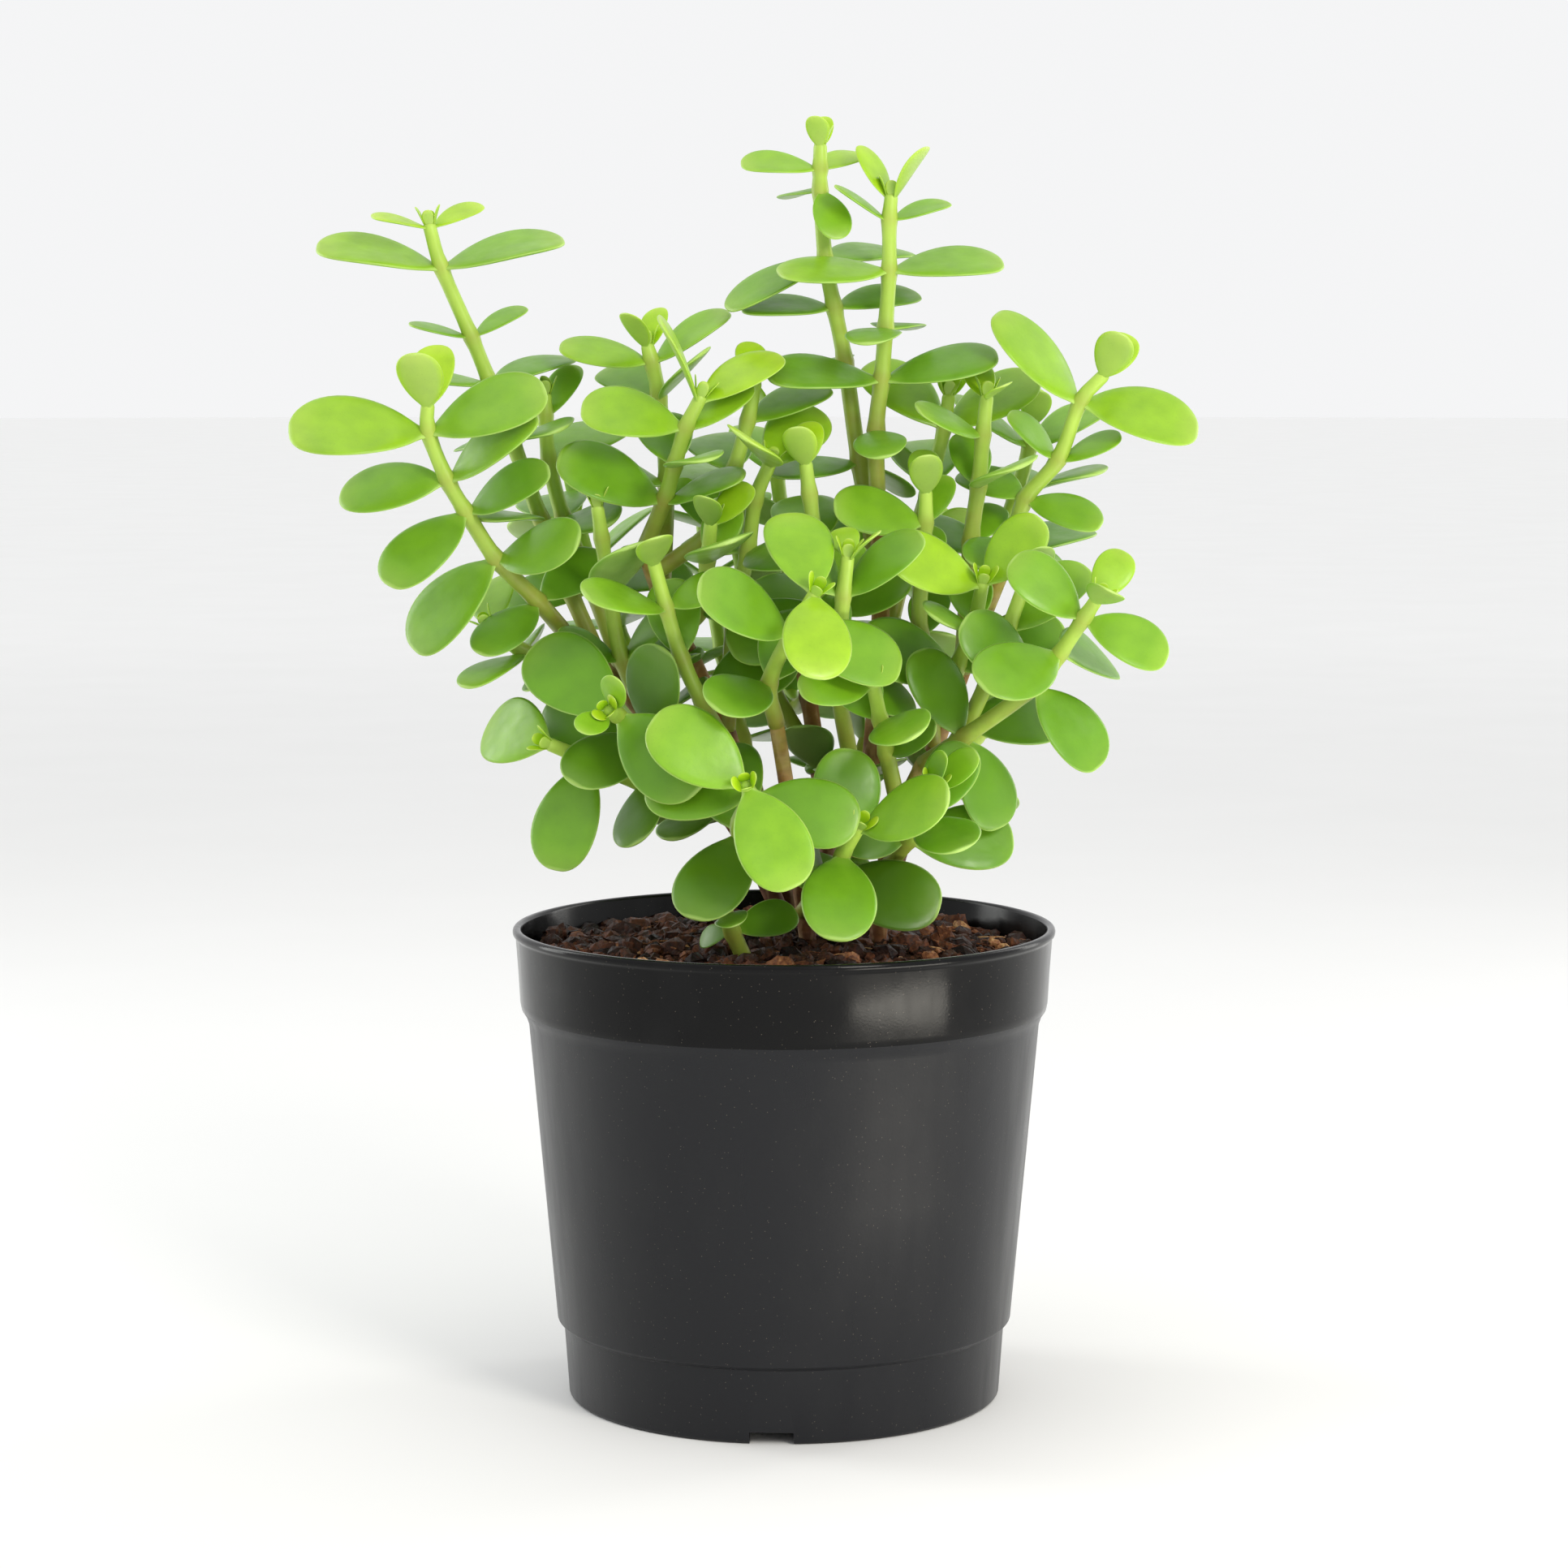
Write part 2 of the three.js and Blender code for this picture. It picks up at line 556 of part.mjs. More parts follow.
// The ring of joined leaf feet round a stem.
function collarSolid(frame, stemRadius) {
  const inner = (stemRadius + COLLAR_GAP) / Math.cos(Math.PI / COLLAR_SIDES);
  const outer = inner + COLLAR_WALL;
  const h = COLLAR_HEIGHT / 2;
  const profile = [[inner, -h], [outer, -h], [outer, h], [inner, h], [inner, -h]];
  const geometry = new THREE.LatheGeometry(profile.map(([r, z]) => new THREE.Vector2(r, z)), COLLAR_SIDES);
  const turn = new THREE.Quaternion().setFromUnitVectors(new THREE.Vector3(0, 1, 0), frame.tangent);
  geometry.applyQuaternion(turn);
  geometry.translate(frame.point.x, frame.point.y, frame.point.z);
  return toSolid(geometry);
}

// A lathe turned about +Z from a profile of [radius, height].
function turned(profile, segments) {
  const geometry = new THREE.LatheGeometry(profile.map(([r, z]) => new THREE.Vector2(r, z)), segments);
  geometry.rotateX(Math.PI / 2);
  return toSolid(geometry);
}

// ---- Pot ----

function potSolid() {
  const bandFoot = POT_HEIGHT - BAND_HEIGHT;
  const wallTop = bandFoot - SHOULDER_HEIGHT;
  const profile = [
    [0, 0],
    [CENTRE_FOOT_RADIUS, 0],
    [CENTRE_FOOT_RADIUS, FOOT_HEIGHT],
    [BASE_RADIUS - FOOT_WIDTH, FOOT_HEIGHT],
    [BASE_RADIUS - FOOT_WIDTH, 0],
    [BASE_RADIUS - BASE_CHAMFER, 0],
    [BASE_RADIUS, BASE_CHAMFER],
    [WALL_FOOT_RADIUS - LEDGE_DEPTH, LEDGE_HEIGHT],
    [WALL_FOOT_RADIUS, LEDGE_HEIGHT + LEDGE_SLOPE],
    [WALL_TOP_RADIUS, wallTop],
    [BAND_FOOT_RADIUS - BAND_CHAMFER, bandFoot - 2 * BAND_CHAMFER],
    [BAND_FOOT_RADIUS, bandFoot],
    [RIM_RADIUS - LIP_OVERHANG, POT_HEIGHT - LIP_HEIGHT],
    [RIM_RADIUS, POT_HEIGHT - LIP_HEIGHT + LIP_SLOPE],
    [RIM_RADIUS, POT_HEIGHT],
    [RIM_RADIUS - LIP_OVERHANG - WALL, POT_HEIGHT],
    [BAND_FOOT_RADIUS - WALL, bandFoot],
    [WALL_TOP_RADIUS - WALL, wallTop],
    [WALL_FOOT_RADIUS - WALL, LEDGE_HEIGHT],
    [BASE_RADIUS - WALL, FLOOR_TOP],
    [0, FLOOR_TOP],
  ];
  let pot = turned(profile, POT_SEGMENTS);
  for (let i = 0; i < NOTCHES; i++) {
    const notch = new THREE.BoxGeometry(3 * FOOT_WIDTH, NOTCH_WIDTH, 2 * FOOT_HEIGHT);
    notch.translate(BASE_RADIUS - FOOT_WIDTH / 2, 0, 0);
    notch.rotateZ(NOTCH_TURN + (2 * Math.PI * i) / NOTCHES);
    pot = pot.subtract(toSolid(notch));
  }
  for (let i = 0; i < DRAIN_HOLES; i++) {
    const hole = new THREE.CylinderGeometry(DRAIN_HOLE_RADIUS, DRAIN_HOLE_RADIUS, 4 * FLOOR_TOP,
      DRAIN_HOLE_SEGMENTS);
    hole.rotateX(Math.PI / 2);
    hole.translate(DRAIN_CIRCLE_RADIUS, 0, 0);
    hole.rotateZ((2 * Math.PI * i) / DRAIN_HOLES);
    pot = pot.subtract(toSolid(hole));
  }
  return pot;
}

function soilSolid(stems) {
  const bandFoot = POT_HEIGHT - BAND_HEIGHT;
  const wallTop = bandFoot - SHOULDER_HEIGHT;
  const inner = (radius) => radius - WALL - SOIL_GAP;
  const profile = [
    [0, FLOOR_TOP + GAP],
    [inner(BASE_RADIUS), FLOOR_TOP + GAP],
    [inner(WALL_FOOT_RADIUS), LEDGE_HEIGHT + LEDGE_SLOPE],
    [inner(WALL_TOP_RADIUS), wallTop],
    [inner(BAND_FOOT_RADIUS), bandFoot],
    [inner(BAND_FOOT_RADIUS), SOIL_EDGE_HEIGHT],
    [0.5 * BAND_FOOT_RADIUS, SOIL_SHOULDER_HEIGHT],
    [0, SOIL_CENTRE_HEIGHT],
  ];
  return stems.reduce((soil, stem) => soil.subtract(stem), turned(profile, POT_SEGMENTS));
}

// ---- Assembly ----

const MATERIALS = {
  pot: new THREE.MeshStandardMaterial({ color: 0x17181b, roughness: 0.42, metalness: 0 }),
  soil: new THREE.MeshStandardMaterial({ color: 0x4a2c1d, roughness: 0.9, metalness: 0 }),
  wood: new THREE.MeshStandardMaterial({ color: 0x8a5a33, roughness: 0.7, metalness: 0 }),
  shoot: new THREE.MeshStandardMaterial({ color: 0x7fb53a, roughness: 0.45, metalness: 0 }),
};

const plant = new THREE.Group();

function addNode(name, solid, material) {
  const mesh = new THREE.Mesh(toGeometry(solid), material);
  mesh.name = name;
  plant.add(mesh);
}

const pathOf = (plan) => jointFrames(plan).map((frame) => frame.point);

const woodTube = (plan, extra) =>
  tube(pathOf(plan), plan.radius + extra, plan.radius * WOOD_TIP_SHARE + extra);

const leaves = growLeaves([...SHOOTS, ...STEMS]);
const widened = new Map(STEMS.map((plan) => [plan.name, woodTube(plan, GAP)]));

addNode("pot", potSolid(), MATERIALS.pot);
const buried = [...widened.values()];
for (const plan of SHOOTS.filter((shoot) => !shoot.stem))
  buried.push(tube(pathOf(plan), GREEN_FOOT_RADIUS + GAP, GREEN_TIP_RADIUS + GAP));
addNode("soil", soilSolid(buried), MATERIALS.soil);

for (const plan of STEMS) {
  addNode(plan.name, woodTube(plan, 0), MATERIALS.wood);
  const frames = jointFrames(plan);
  const joints = [...new Set(leaves.filter((leaf) => leaf.plan === plan.name).map((leaf) => leaf.joint))];
  joints.forEach((joint, i) => {
    const own = leaves.filter((leaf) => leaf.plan === plan.name && leaf.joint === joint);
    const solids = [collarSolid(frames[joint], plan.radius), ...own.map(leafSolid)];
    addNode(`${plan.name}_leaf_pair_${i + 1}`, join(solids), MATERIALS.shoot);
  });
}

for (const plan of SHOOTS) {
  const own = leaves.filter((leaf) => leaf.plan === plan.name);
  const path = pathOf(plan);
  const stem = tube(path, GREEN_FOOT_RADIUS, GREEN_TIP_RADIUS);
  let solid = join([stem, budSolid(path.at(-1)), ...own.map(leafSolid)]);
  if (plan.stem) solid = largestBody(solid.subtract(widened.get(plan.stem)));
  addNode(plan.name, solid, MATERIALS.shoot);
}

export default plant;
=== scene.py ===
"""A small-leaved jade plant in a black nursery pot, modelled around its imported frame.

Blender sizes are in metres. The plan of the plant and its growth rules are in millimetres.
"""

import math
import random

import bmesh
import bpy
import numpy as np
from bpy.props import FloatProperty, FloatVectorProperty, IntProperty, PointerProperty
from bpy.types import Operator, Panel, PropertyGroup
from mathutils import Matrix, Vector


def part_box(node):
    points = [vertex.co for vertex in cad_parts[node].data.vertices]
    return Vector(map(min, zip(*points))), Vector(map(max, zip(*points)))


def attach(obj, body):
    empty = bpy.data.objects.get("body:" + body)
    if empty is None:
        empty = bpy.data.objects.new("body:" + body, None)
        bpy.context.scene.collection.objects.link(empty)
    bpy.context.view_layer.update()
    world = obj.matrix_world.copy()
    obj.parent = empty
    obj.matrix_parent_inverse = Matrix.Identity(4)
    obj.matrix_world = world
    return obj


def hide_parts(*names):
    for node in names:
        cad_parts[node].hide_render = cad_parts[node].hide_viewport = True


bl_info = {
    "name": "Potted Jade Plant",
    "version": (1, 0, 0),
    "blender": (4, 5, 0),
    "location": "3D View > Sidebar > Jade Plant",
    "description": "Builds a small-leaved jade plant, its soil and its nursery pot around the packed frame",
    "category": "Object",
}

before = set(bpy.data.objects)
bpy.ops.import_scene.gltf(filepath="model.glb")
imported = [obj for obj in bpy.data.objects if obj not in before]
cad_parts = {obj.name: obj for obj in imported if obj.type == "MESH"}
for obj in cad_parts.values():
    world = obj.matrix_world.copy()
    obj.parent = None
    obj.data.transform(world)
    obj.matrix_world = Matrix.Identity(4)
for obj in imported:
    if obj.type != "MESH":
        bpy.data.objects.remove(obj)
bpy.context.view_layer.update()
MM = 0.001
SEED = 11

MERGE_DISTANCE = 1e-6
STRAIGHT = 1e-5

# ---- Plan of the plant ----

UP = np.array([0.0, 0.0, 1.0])
AWAY = np.array([0.0, 1.0, 0.0])
LIGHT = np.array([-0.1, -0.9, 0.4])

GREEN_FOOT_RADIUS = 2.4
GREEN_TIP_RADIUS = 1.9
WOOD_TIP_SHARE = 0.8
WOOD_FACE = 0.3
LEAF_BREADTH = 0.76
LEAF_THICKNESS = 0.085
LEAF_BEND = 0.1
LEAF_CUP = 0.12
LEAF_FOOT = 1.2
WOOD_LEAF_FOOT = 0.6
FOOT_POWER = 0.68
TIP_POWER = 0.45
WIDEST = FOOT_POWER / (FOOT_POWER + TIP_POWER)
PEAK = WIDEST**FOOT_POWER * (1 - WIDEST) ** TIP_POWER
LEAF_GAP = 2.7
LEAF_RIM_GAP = 0.8
LEAF_REACH_SHARE = 0.56
LEAF_SPAN = (0.02, 1.03)
SAMPLE_ALONG = (0.12, 0.26, 0.4, 0.54, 0.68, 0.82, 0.97)
SAMPLE_ACROSS = (-1, -0.5, 0, 0.5, 1)
STEM_GAP = 1.6
STEM_RIM_GAP = 0.5
STEM_STEP = 2.5
STEM_REACH = 4
OWN_STEM_REACH = 5.5
SOIL_CLEARANCE = 3
RIM_CLEARANCE = 1.6
RIM_INNER_MARGIN = 5
RIM_OUTER_MARGIN = 2
POT_HEIGHT = 132.9
RIM_RADIUS = 76
SOIL_CENTRE_HEIGHT = 128

# Rise of a pair's leaves above square to the stem, in degrees, from the youngest pair down.
RISE_BY_AGE = [60, 38, 24, 16, 9, 3, -2, -6]

# A leaf that meets a neighbour tries these in turn: degrees round the stem, degrees of rise, share of size.
GIVE_WAY = [
    (0, 0, 1), (0, 12, 1), (0, -12, 1), (15, 0, 1), (-15, 0, 1), (0, 24, 1), (0, -24, 1), (30, 0, 1),
    (-30, 0, 1), (15, 18, 0.9), (-15, 18, 0.9), (15, -18, 0.9), (-15, -18, 0.9), (0, 36, 0.85),
    (0, -34, 0.85), (45, 0, 0.85), (-45, 0, 0.85), (30, 30, 0.8), (-30, 30, 0.8), (0, 0, 0.7),
    (0, 25, 0.65), (0, -25, 0.65), (40, 20, 0.6), (-40, 20, 0.6), (0, 45, 0.5),
]

# A joint is (x, y, z, leaf length, turn, rise on one side, rise on the other). The stem runs through its
# joints, and a pair of leaves grows at each joint that has a length. A joint without a turn takes a quarter
# turn from the last, and one without rises takes them from its age. "level" is how far the pairs level
# themselves to the horizon, and "face" is how far the blades turn to the light.
STEMS = [
    {"name": "main_stem", "radius": 3, "level": 0.5, "joints": [
        (15, 2, 104), (16, 2, 128), (20, 3, 150, 24, 40), (24, 3, 175, 26, 110), (26, 3, 200), (27, 2, 226),
        (26, 1, 250)]},
    {"name": "left_stem", "radius": 2.8, "level": 0.4, "joints": [
        (3, 6, 104), (2, 7, 126), (-8, 9, 150), (-18, 9, 166, 26, 60), (-28, 9, 178),
        (-38, 7, 190, 26, 150), (-48, 5, 202), (-62, 2, 216)]},
    {"name": "right_stem", "radius": 2.8, "level": 0.4, "joints": [
        (24, 6, 104), (26, 7, 128), (34, 9, 158), (40, 10, 175, 26, 60), (46, 10, 192), (54, 9, 214),
        (61, 6, 232)]},
    {"name": "centre_stem", "radius": 2.6, "level": 0.4, "joints": [
        (4, 14, 104), (4, 14, 128), (-2, 13, 146), (-9, 11, 166, 26, 30), (-16, 9, 186),
        (-26, 6, 208, 27, 120), (-34, 3, 224), (-39, 0, 238)]},
    {"name": "front_stem", "radius": 2.6, "level": 0.2, "joints": [
        (8, -6, 104), (7, -8, 126), (4, -14, 150), (2, -20, 166, 26, 40), (-2, -28, 192)]},
    {"name": "low_right_stem", "radius": 2.6, "level": 0.2, "joints": [
        (26, -5, 104), (26, -6, 126), (28, -10, 150), (32, -14, 166), (38, -18, 180)]},
    {"name": "back_stem", "radius": 2.8, "level": 0.4, "joints": [
        (14, 16, 104), (14, 18, 128), (12, 26, 156), (10, 31, 174, 26, 80), (7, 36, 194),
        (4, 40, 210, 26, 10), (2, 42, 225)]},
]

SHOOTS = [
    {"name": "tall_leader", "level": 0.6, "face": 0.4, "joints": [
        (26, 1, 250), (25.5, 0, 271, 22, 92, -30, -12), (27, 0, 285, 32, 2, -6, 4),
        (28, 0, 299, 23, 75, 10, -5), (29, 0, 315, 31, 4, 10, 0), (29, 0, 329, 17, 12, 20, 35),
        (29.5, 0, 335, 17, 150, 60, 60)]},
    {"name": "twin_leader", "level": 0.6, "face": 0.4, "joints": [
        (27, 2, 226), (21, 9, 262, 26, 40), (17, 10, 290, 24, 110), (14, 9, 305, 25, 6),
        (11.5, 8, 318, 30, 10, 10, -18), (10, 6, 337, 19, 115, 0, -15), (10, 5, 343, 21, 5, 20, 8),
        (10, 5, 349, 10, 80, 65, 65)]},
    {"name": "left_leader", "level": 0.6, "face": 0.35, "joints": [
        (-50, 5, 204), (-60, 9, 226), (-68, 11, 246, 28, 60), (-76, 11, 268, 28, 120),
        (-82, 10, 284, 26, 30), (-87, 8, 297, 17, 20), (-95, 6, 316, 34, 5, 8, 22),
        (-98, 5, 327, 16, 25, 22, 22)]},
    {"name": "left_shoot", "level": 0.3, "face": 0.6, "joints": [
        (-62, 2, 216), (-68, -6, 224, 24, 40, 0, -20), (-79, -12, 236, 33, 10, 0, -40),
        (-87, -15, 249, 30, 32, 10, -12), (-92, -17, 258, 30, 170, 10, 10), (-97, -18, 271, 37, 10, -5, 15),
        (-97, -19, 278, 19, 80)]},
    {"name": "right_leader", "level": 0.3, "face": 0.6, "joints": [
        (61, 6, 232), (64, 4, 240, 28, 20, -30, -10), (67, 3, 252, 22, 160, 5, 10),
        (76, 1, 263, 18, 0, 60, 30), (82, 0, 279, 33, 0, 10, 5), (88, -1, 286, 16, 80, 60, 60)]},
    {"name": "right_shoot", "level": 0, "face": 0.6, "joints": [
        (38, -18, 180), (49, -24, 188, 26, -10, -10, 20), (68, -34, 203, 27, -10, 0, 10),
        (74, -40, 212, 29, 60, -10, -10), (80, -46, 222, 24, 0, 10, 15), (83, -49, 227, 16, 90, 50, 50)]},
    {"name": "upper_left_shoot", "level": 0.3, "face": 0.6, "joints": [
        (-39, 0, 238), (-33, -8, 252, 31, 10), (-30, -12, 262, 24, 110), (-27, -14, 272, 28, 5, 20, 0),
        (-23, -15, 280, 26, 30, 40, 50)]},
    {"name": "small_upper_shoot", "level": 0.6, "face": 0.5, "joints": [
        (-34, 3, 224), (-33, 14, 256, 29, 60), (-35, 12, 280, 24, 130), (-37, 11, 290, 25, 5, 20, 5),
        (-38, 11, 294, 13, 60)]},
    {"name": "centre_front_shoot", "level": 0, "face": 0.5, "joints": [
        (-2, -28, 192), (-4, -36, 204, 26, 60), (2, -46, 218, 30, 20, 10, 20),
        (8, -54, 229, 28, 110, 10, 0)]},
    {"name": "left_front_shoot", "level": 0, "face": 0.6, "joints": [
        (-27, 9, 177), (-38, -16, 188, 29, 10), (-45, -34, 195, 32, 95, 5, 5), (-47, -42, 197, 13, 10)]},
    {"name": "low_front_shoot", "level": 0, "face": 0.6, "joints": [
        (4, -14, 150), (-12, -34, 163, 31, 50, 0, -5), (-9, -48, 174, 29, -8, -5, 0),
        (-10, -56, 178, 30, 100, 20, 0)]},
    {"name": "drooping_shoot", "level": 0, "face": 0.6, "joints": [
        (5, -11, 138), (12, -26, 149, 31, 20), (16, -39, 158, 31, 100, 10, -10), (20, -47, 166, 29, 10)]},
    {"name": "left_inner_shoot", "level": 0.5, "face": 0.6, "joints": [
        (-42, 6, 195), (-54, 17, 226, 31, 30), (-62, 17, 246, 31, 100), (-66, 16, 262, 31, 20),
        (-67, 16, 275, 29, 0), (-67, 16, 280, 13, 60)]},
    {"name": "left_hanging_shoot", "level": 0, "face": 0.6, "joints": [
        (-21, 9, 170), (-40, -7, 174, 26, 60), (-54, -16, 181, 31, 20, 10, -20),
        (-64, -23, 186, 30, 100, 10, -20)]},
    {"name": "left_low_shoot", "level": 0.2, "face": 0.6, "joints": [
        (-55, 4, 209), (-63, -4, 208, 29, 20), (-72, -5, 210, 29, 80, 0, 0),
        (-81, -7, 217, 26, 20, 20, 0)]},
    {"name": "centre_inner_shoot", "level": 0.2, "face": 0.75, "joints": [
        (-16, 9, 186), (-14, 0, 218, 31, 40), (-10, -4, 238, 30, 120), (-8, -6, 252, 29, 20),
        (-4, -8, 262, 26, 70, 40, 30)]},
    {"name": "right_upper_shoot", "level": 0.5, "face": 0.7, "joints": [
        (26, 3, 200), (34, 14, 232, 31, 30), (41, 14, 256, 31, 110), (45, 13, 272, 29, 10),
        (46, 13, 280, 13, 70)]},
    {"name": "right_front_shoot", "level": 0.1, "face": 0.7, "joints": [
        (46, 10, 192), (48, -6, 206, 31, 20), (52, -16, 218, 29, 100), (54, -24, 230, 29, 10, 20, 10)]},
    {"name": "inner_front_shoot", "level": 0, "face": 0.7, "joints": [
        (32, -14, 166), (28, -26, 184, 29, 20), (26, -36, 194, 26, 110), (24, -44, 204, 24, 10)]},
    {"name": "right_low_shoot", "level": 0, "face": 0.7, "joints": [
        (28, -10, 150), (34, -26, 160, 29, 30), (38, -36, 168, 26, 120), (40, -42, 176, 15, 30)]},
    {"name": "soil_sprig", "level": 0, "face": 0.5, "joints": [
        (-10, -30, 126), (-14, -36, 136, 18, 10, -10, -30), (-16, -40, 142, 14, 100),
        (-17, -42, 146, 8, 10)]},
    {"name": "right_back_shoot", "level": 0.5, "face": 0.5, "joints": [
        (54, 9, 214), (60, 24, 236, 31, 20), (66, 30, 252, 31, 100), (70, 32, 266, 26, 20),
        (71, 32, 272, 13, 90)]},
    {"name": "back_left_shoot", "level": 0.4, "face": 0, "joints": [
        (-28, 9, 178), (-38, 26, 196, 28, 30), (-48, 38, 214, 28), (-56, 46, 232, 26), (-60, 50, 246, 20)]},
    {"name": "back_centre_left_shoot", "level": 0.4, "face": 0, "joints": [
        (-2, 13, 146), (-12, 36, 182, 28, 10), (-18, 48, 206, 28), (-22, 56, 228, 26), (-24, 60, 244, 20)]},
    {"name": "back_centre_shoot", "level": 0.5, "face": 0, "joints": [
        (2, 42, 225), (0, 46, 242, 28, 20), (-2, 48, 258, 26), (-2, 48, 272, 18)]},
    {"name": "back_right_shoot", "level": 0.4, "face": 0, "joints": [
        (12, 26, 156), (24, 44, 180, 28, 20), (34, 54, 200, 28), (42, 60, 218, 26), (46, 62, 232, 20)]},
    {"name": "back_low_right_shoot", "level": 0.3, "face": 0, "joints": [
        (34, 9, 158), (44, 28, 170, 26, 20), (56, 42, 182, 26), (64, 52, 194, 22)]},
    {"name": "back_low_left_shoot", "level": 0.3, "face": 0, "joints": [
        (-8, 9, 150), (-16, 30, 160, 26, 30), (-27, 46, 170, 26), (-36, 56, 180, 22)]},
    {"name": "back_low_shoot", "level": 0.3, "face": 0, "joints": [
        (7, 36, 194), (4, 52, 190, 26, 20), (2, 64, 192, 24), (0, 72, 198, 18)]},
    {"name": "left_mid_shoot", "level": 0.4, "face": 0.7, "joints": [
        (-38, 7, 190), (-45, -4, 208, 30, 20), (-48, -10, 226, 30, 110), (-50, -14, 242, 26, 30),
        (-51, -16, 250, 14, 80)]},
    {"name": "centre_left_shoot", "level": 0.3, "face": 0.75, "joints": [
        (-29.5, 4.8, 215), (-23, -8, 222, 30, 10), (-21, -16, 236, 29, 100), (-20, -20, 246, 15, 30)]},
    {"name": "centre_upper_shoot", "level": 0.3, "face": 0.75, "joints": [
        (26, 3, 200), (13, -6, 222, 30, 20), (9, -10, 240, 29, 110), (7, -12, 254, 26, 20),
        (6, -13, 262, 14, 80)]},
    {"name": "right_mid_shoot", "level": 0.4, "face": 0.75, "joints": [
        (42.6, 10, 182), (38, 0, 214, 30, 30), (38, -6, 232, 29, 120), (39, -8, 246, 26, 20),
        (39, -9, 254, 14, 90)]},
    {"name": "back_inner_shoot", "level": 0.4, "face": 0.1, "joints": [
        (10, 31, 174), (-4, 40, 198, 27, 20), (-10, 45, 220, 27, 110), (-14, 48, 240, 25, 20),
        (-16, 49, 252, 18, 100)]},
    {"name": "front_left_shoot", "level": 0.2, "face": 0.65, "joints": [
        (-12.5, 10, 176), (-22, -16, 196, 29, 20), (-28, -24, 210, 28, 110), (-32, -30, 224, 27, 10),
        (-35, -34, 236, 16, 100)]},
    {"name": "front_centre_shoot", "level": 0.2, "face": 0.7, "joints": [
        (22, 3, 162), (15, -24, 200, 28, 20), (15, -32, 214, 28, 110), (16, -38, 228, 26, 10),
        (17, -42, 238, 15, 100)]},
    {"name": "front_right_shoot", "level": 0.2, "face": 0.65, "joints": [
        (37, 9.5, 166), (50, -12, 190, 28, 30), (56, -20, 204, 29, 120), (61, -26, 218, 27, 30),
        (65, -30, 230, 15, 110)]},
    {"name": "upper_centre_shoot", "level": 0.4, "face": 0.6, "joints": [
        (-36.5, 1.5, 231), (-20, -2, 244, 28, 20), (-14, -3, 260, 28, 110), (-10, -3, 274, 25, 20),
        (-8, -3, 284, 14, 110)]},
    {"name": "upper_right_shoot", "level": 0.4, "face": 0.6, "joints": [
        (50, 9.5, 203), (52, 2, 240, 29, 20), (54, 0, 256, 28, 110), (55, -2, 270, 25, 20),
        (56, -2, 280, 14, 110)]},
]

# ---- Growth, in millimetres ----


def unit(v):
    return v / math.sqrt(float(v @ v))


def mix(a, b, share):
    return a * (1 - share) + b * share


def outline(s):
    """Half the blade's width at a share s of its length, as a share of the widest half."""
    share = min(max(s, 0.0), 1.0)
    return share**FOOT_POWER * (1 - share) ** TIP_POWER / PEAK


class Leaf:
    """One blade: its foot, the directions along, across and off it, and its length."""

    def __init__(self, place, plan, turn, rise, side, length):
        a = math.radians(turn)
        r = math.radians(rise)
        out = side * (place["right"] * math.cos(a) + place["back"] * math.sin(a))
        self.along = unit(out * math.cos(r) + place["axis"] * math.sin(r))
        facing = mix(place["axis"], LIGHT, plan.get("face", WOOD_FACE) * math.cos(r) ** 2)
        self.normal = unit(facing - self.along * float(facing @ self.along))
        self.across = np.cross(self.along, self.normal)
        self.length = length
        self.half_width = 0.5 * LEAF_BREADTH * length
        foot = plan["radius"] + WOOD_LEAF_FOOT if "radius" in plan else LEAF_FOOT
        self.base = place["point"] + out * foot
        self.middle = self.on_leaf(0.5, 0)
        self.samples = np.array([self.on_leaf(s, u) for s in SAMPLE_ALONG for u in SAMPLE_ACROSS])

    def on_leaf(self, s, u):
        half = self.half_width * outline(s)
        lift = LEAF_CUP * half * u * u - LEAF_BEND * self.length * s * s
        return self.base + self.along * (s * self.length) + self.across * (u * half) + self.normal * lift

    def touches(self, points, half_thickness, rim):
        """Whether any of the points lies in a slab of the given half thickness round the blade."""
        r = points - self.base
        s = r @ self.along / self.length
        share = np.clip(s, 0, 1)
        half = self.half_width * share**FOOT_POWER * (1 - share) ** TIP_POWER / PEAK
        sideways = np.abs(r @ self.across)
        lift = LEAF_BEND * self.length * s * s - LEAF_CUP * sideways * sideways / np.maximum(half, 1)
        near = (s >= LEAF_SPAN[0]) & (s <= LEAF_SPAN[1]) & (sideways <= half + rim)
        return near & (np.abs(r @ self.normal + lift) < half_thickness)


def joint_points(plan):
    return [np.array(joint[:3], dtype=float) for joint in plan["joints"]]


def joint_places(plan):
    """The directions at each joint: along the stem, then sideways and backwards square to it."""
    points = joint_points(plan)
    places = []
    for i, point in enumerate(points):
        tangent = unit(points[min(len(points) - 1, i + 1)] - points[max(0, i - 1)])
        axis = unit(mix(tangent, UP, plan["level"]))
        right = unit(np.cross(AWAY, axis))
        back = np.cross(axis, right)
        places.append({"point": point, "tangent": tangent, "axis": axis, "right": right, "back": back})
    return places


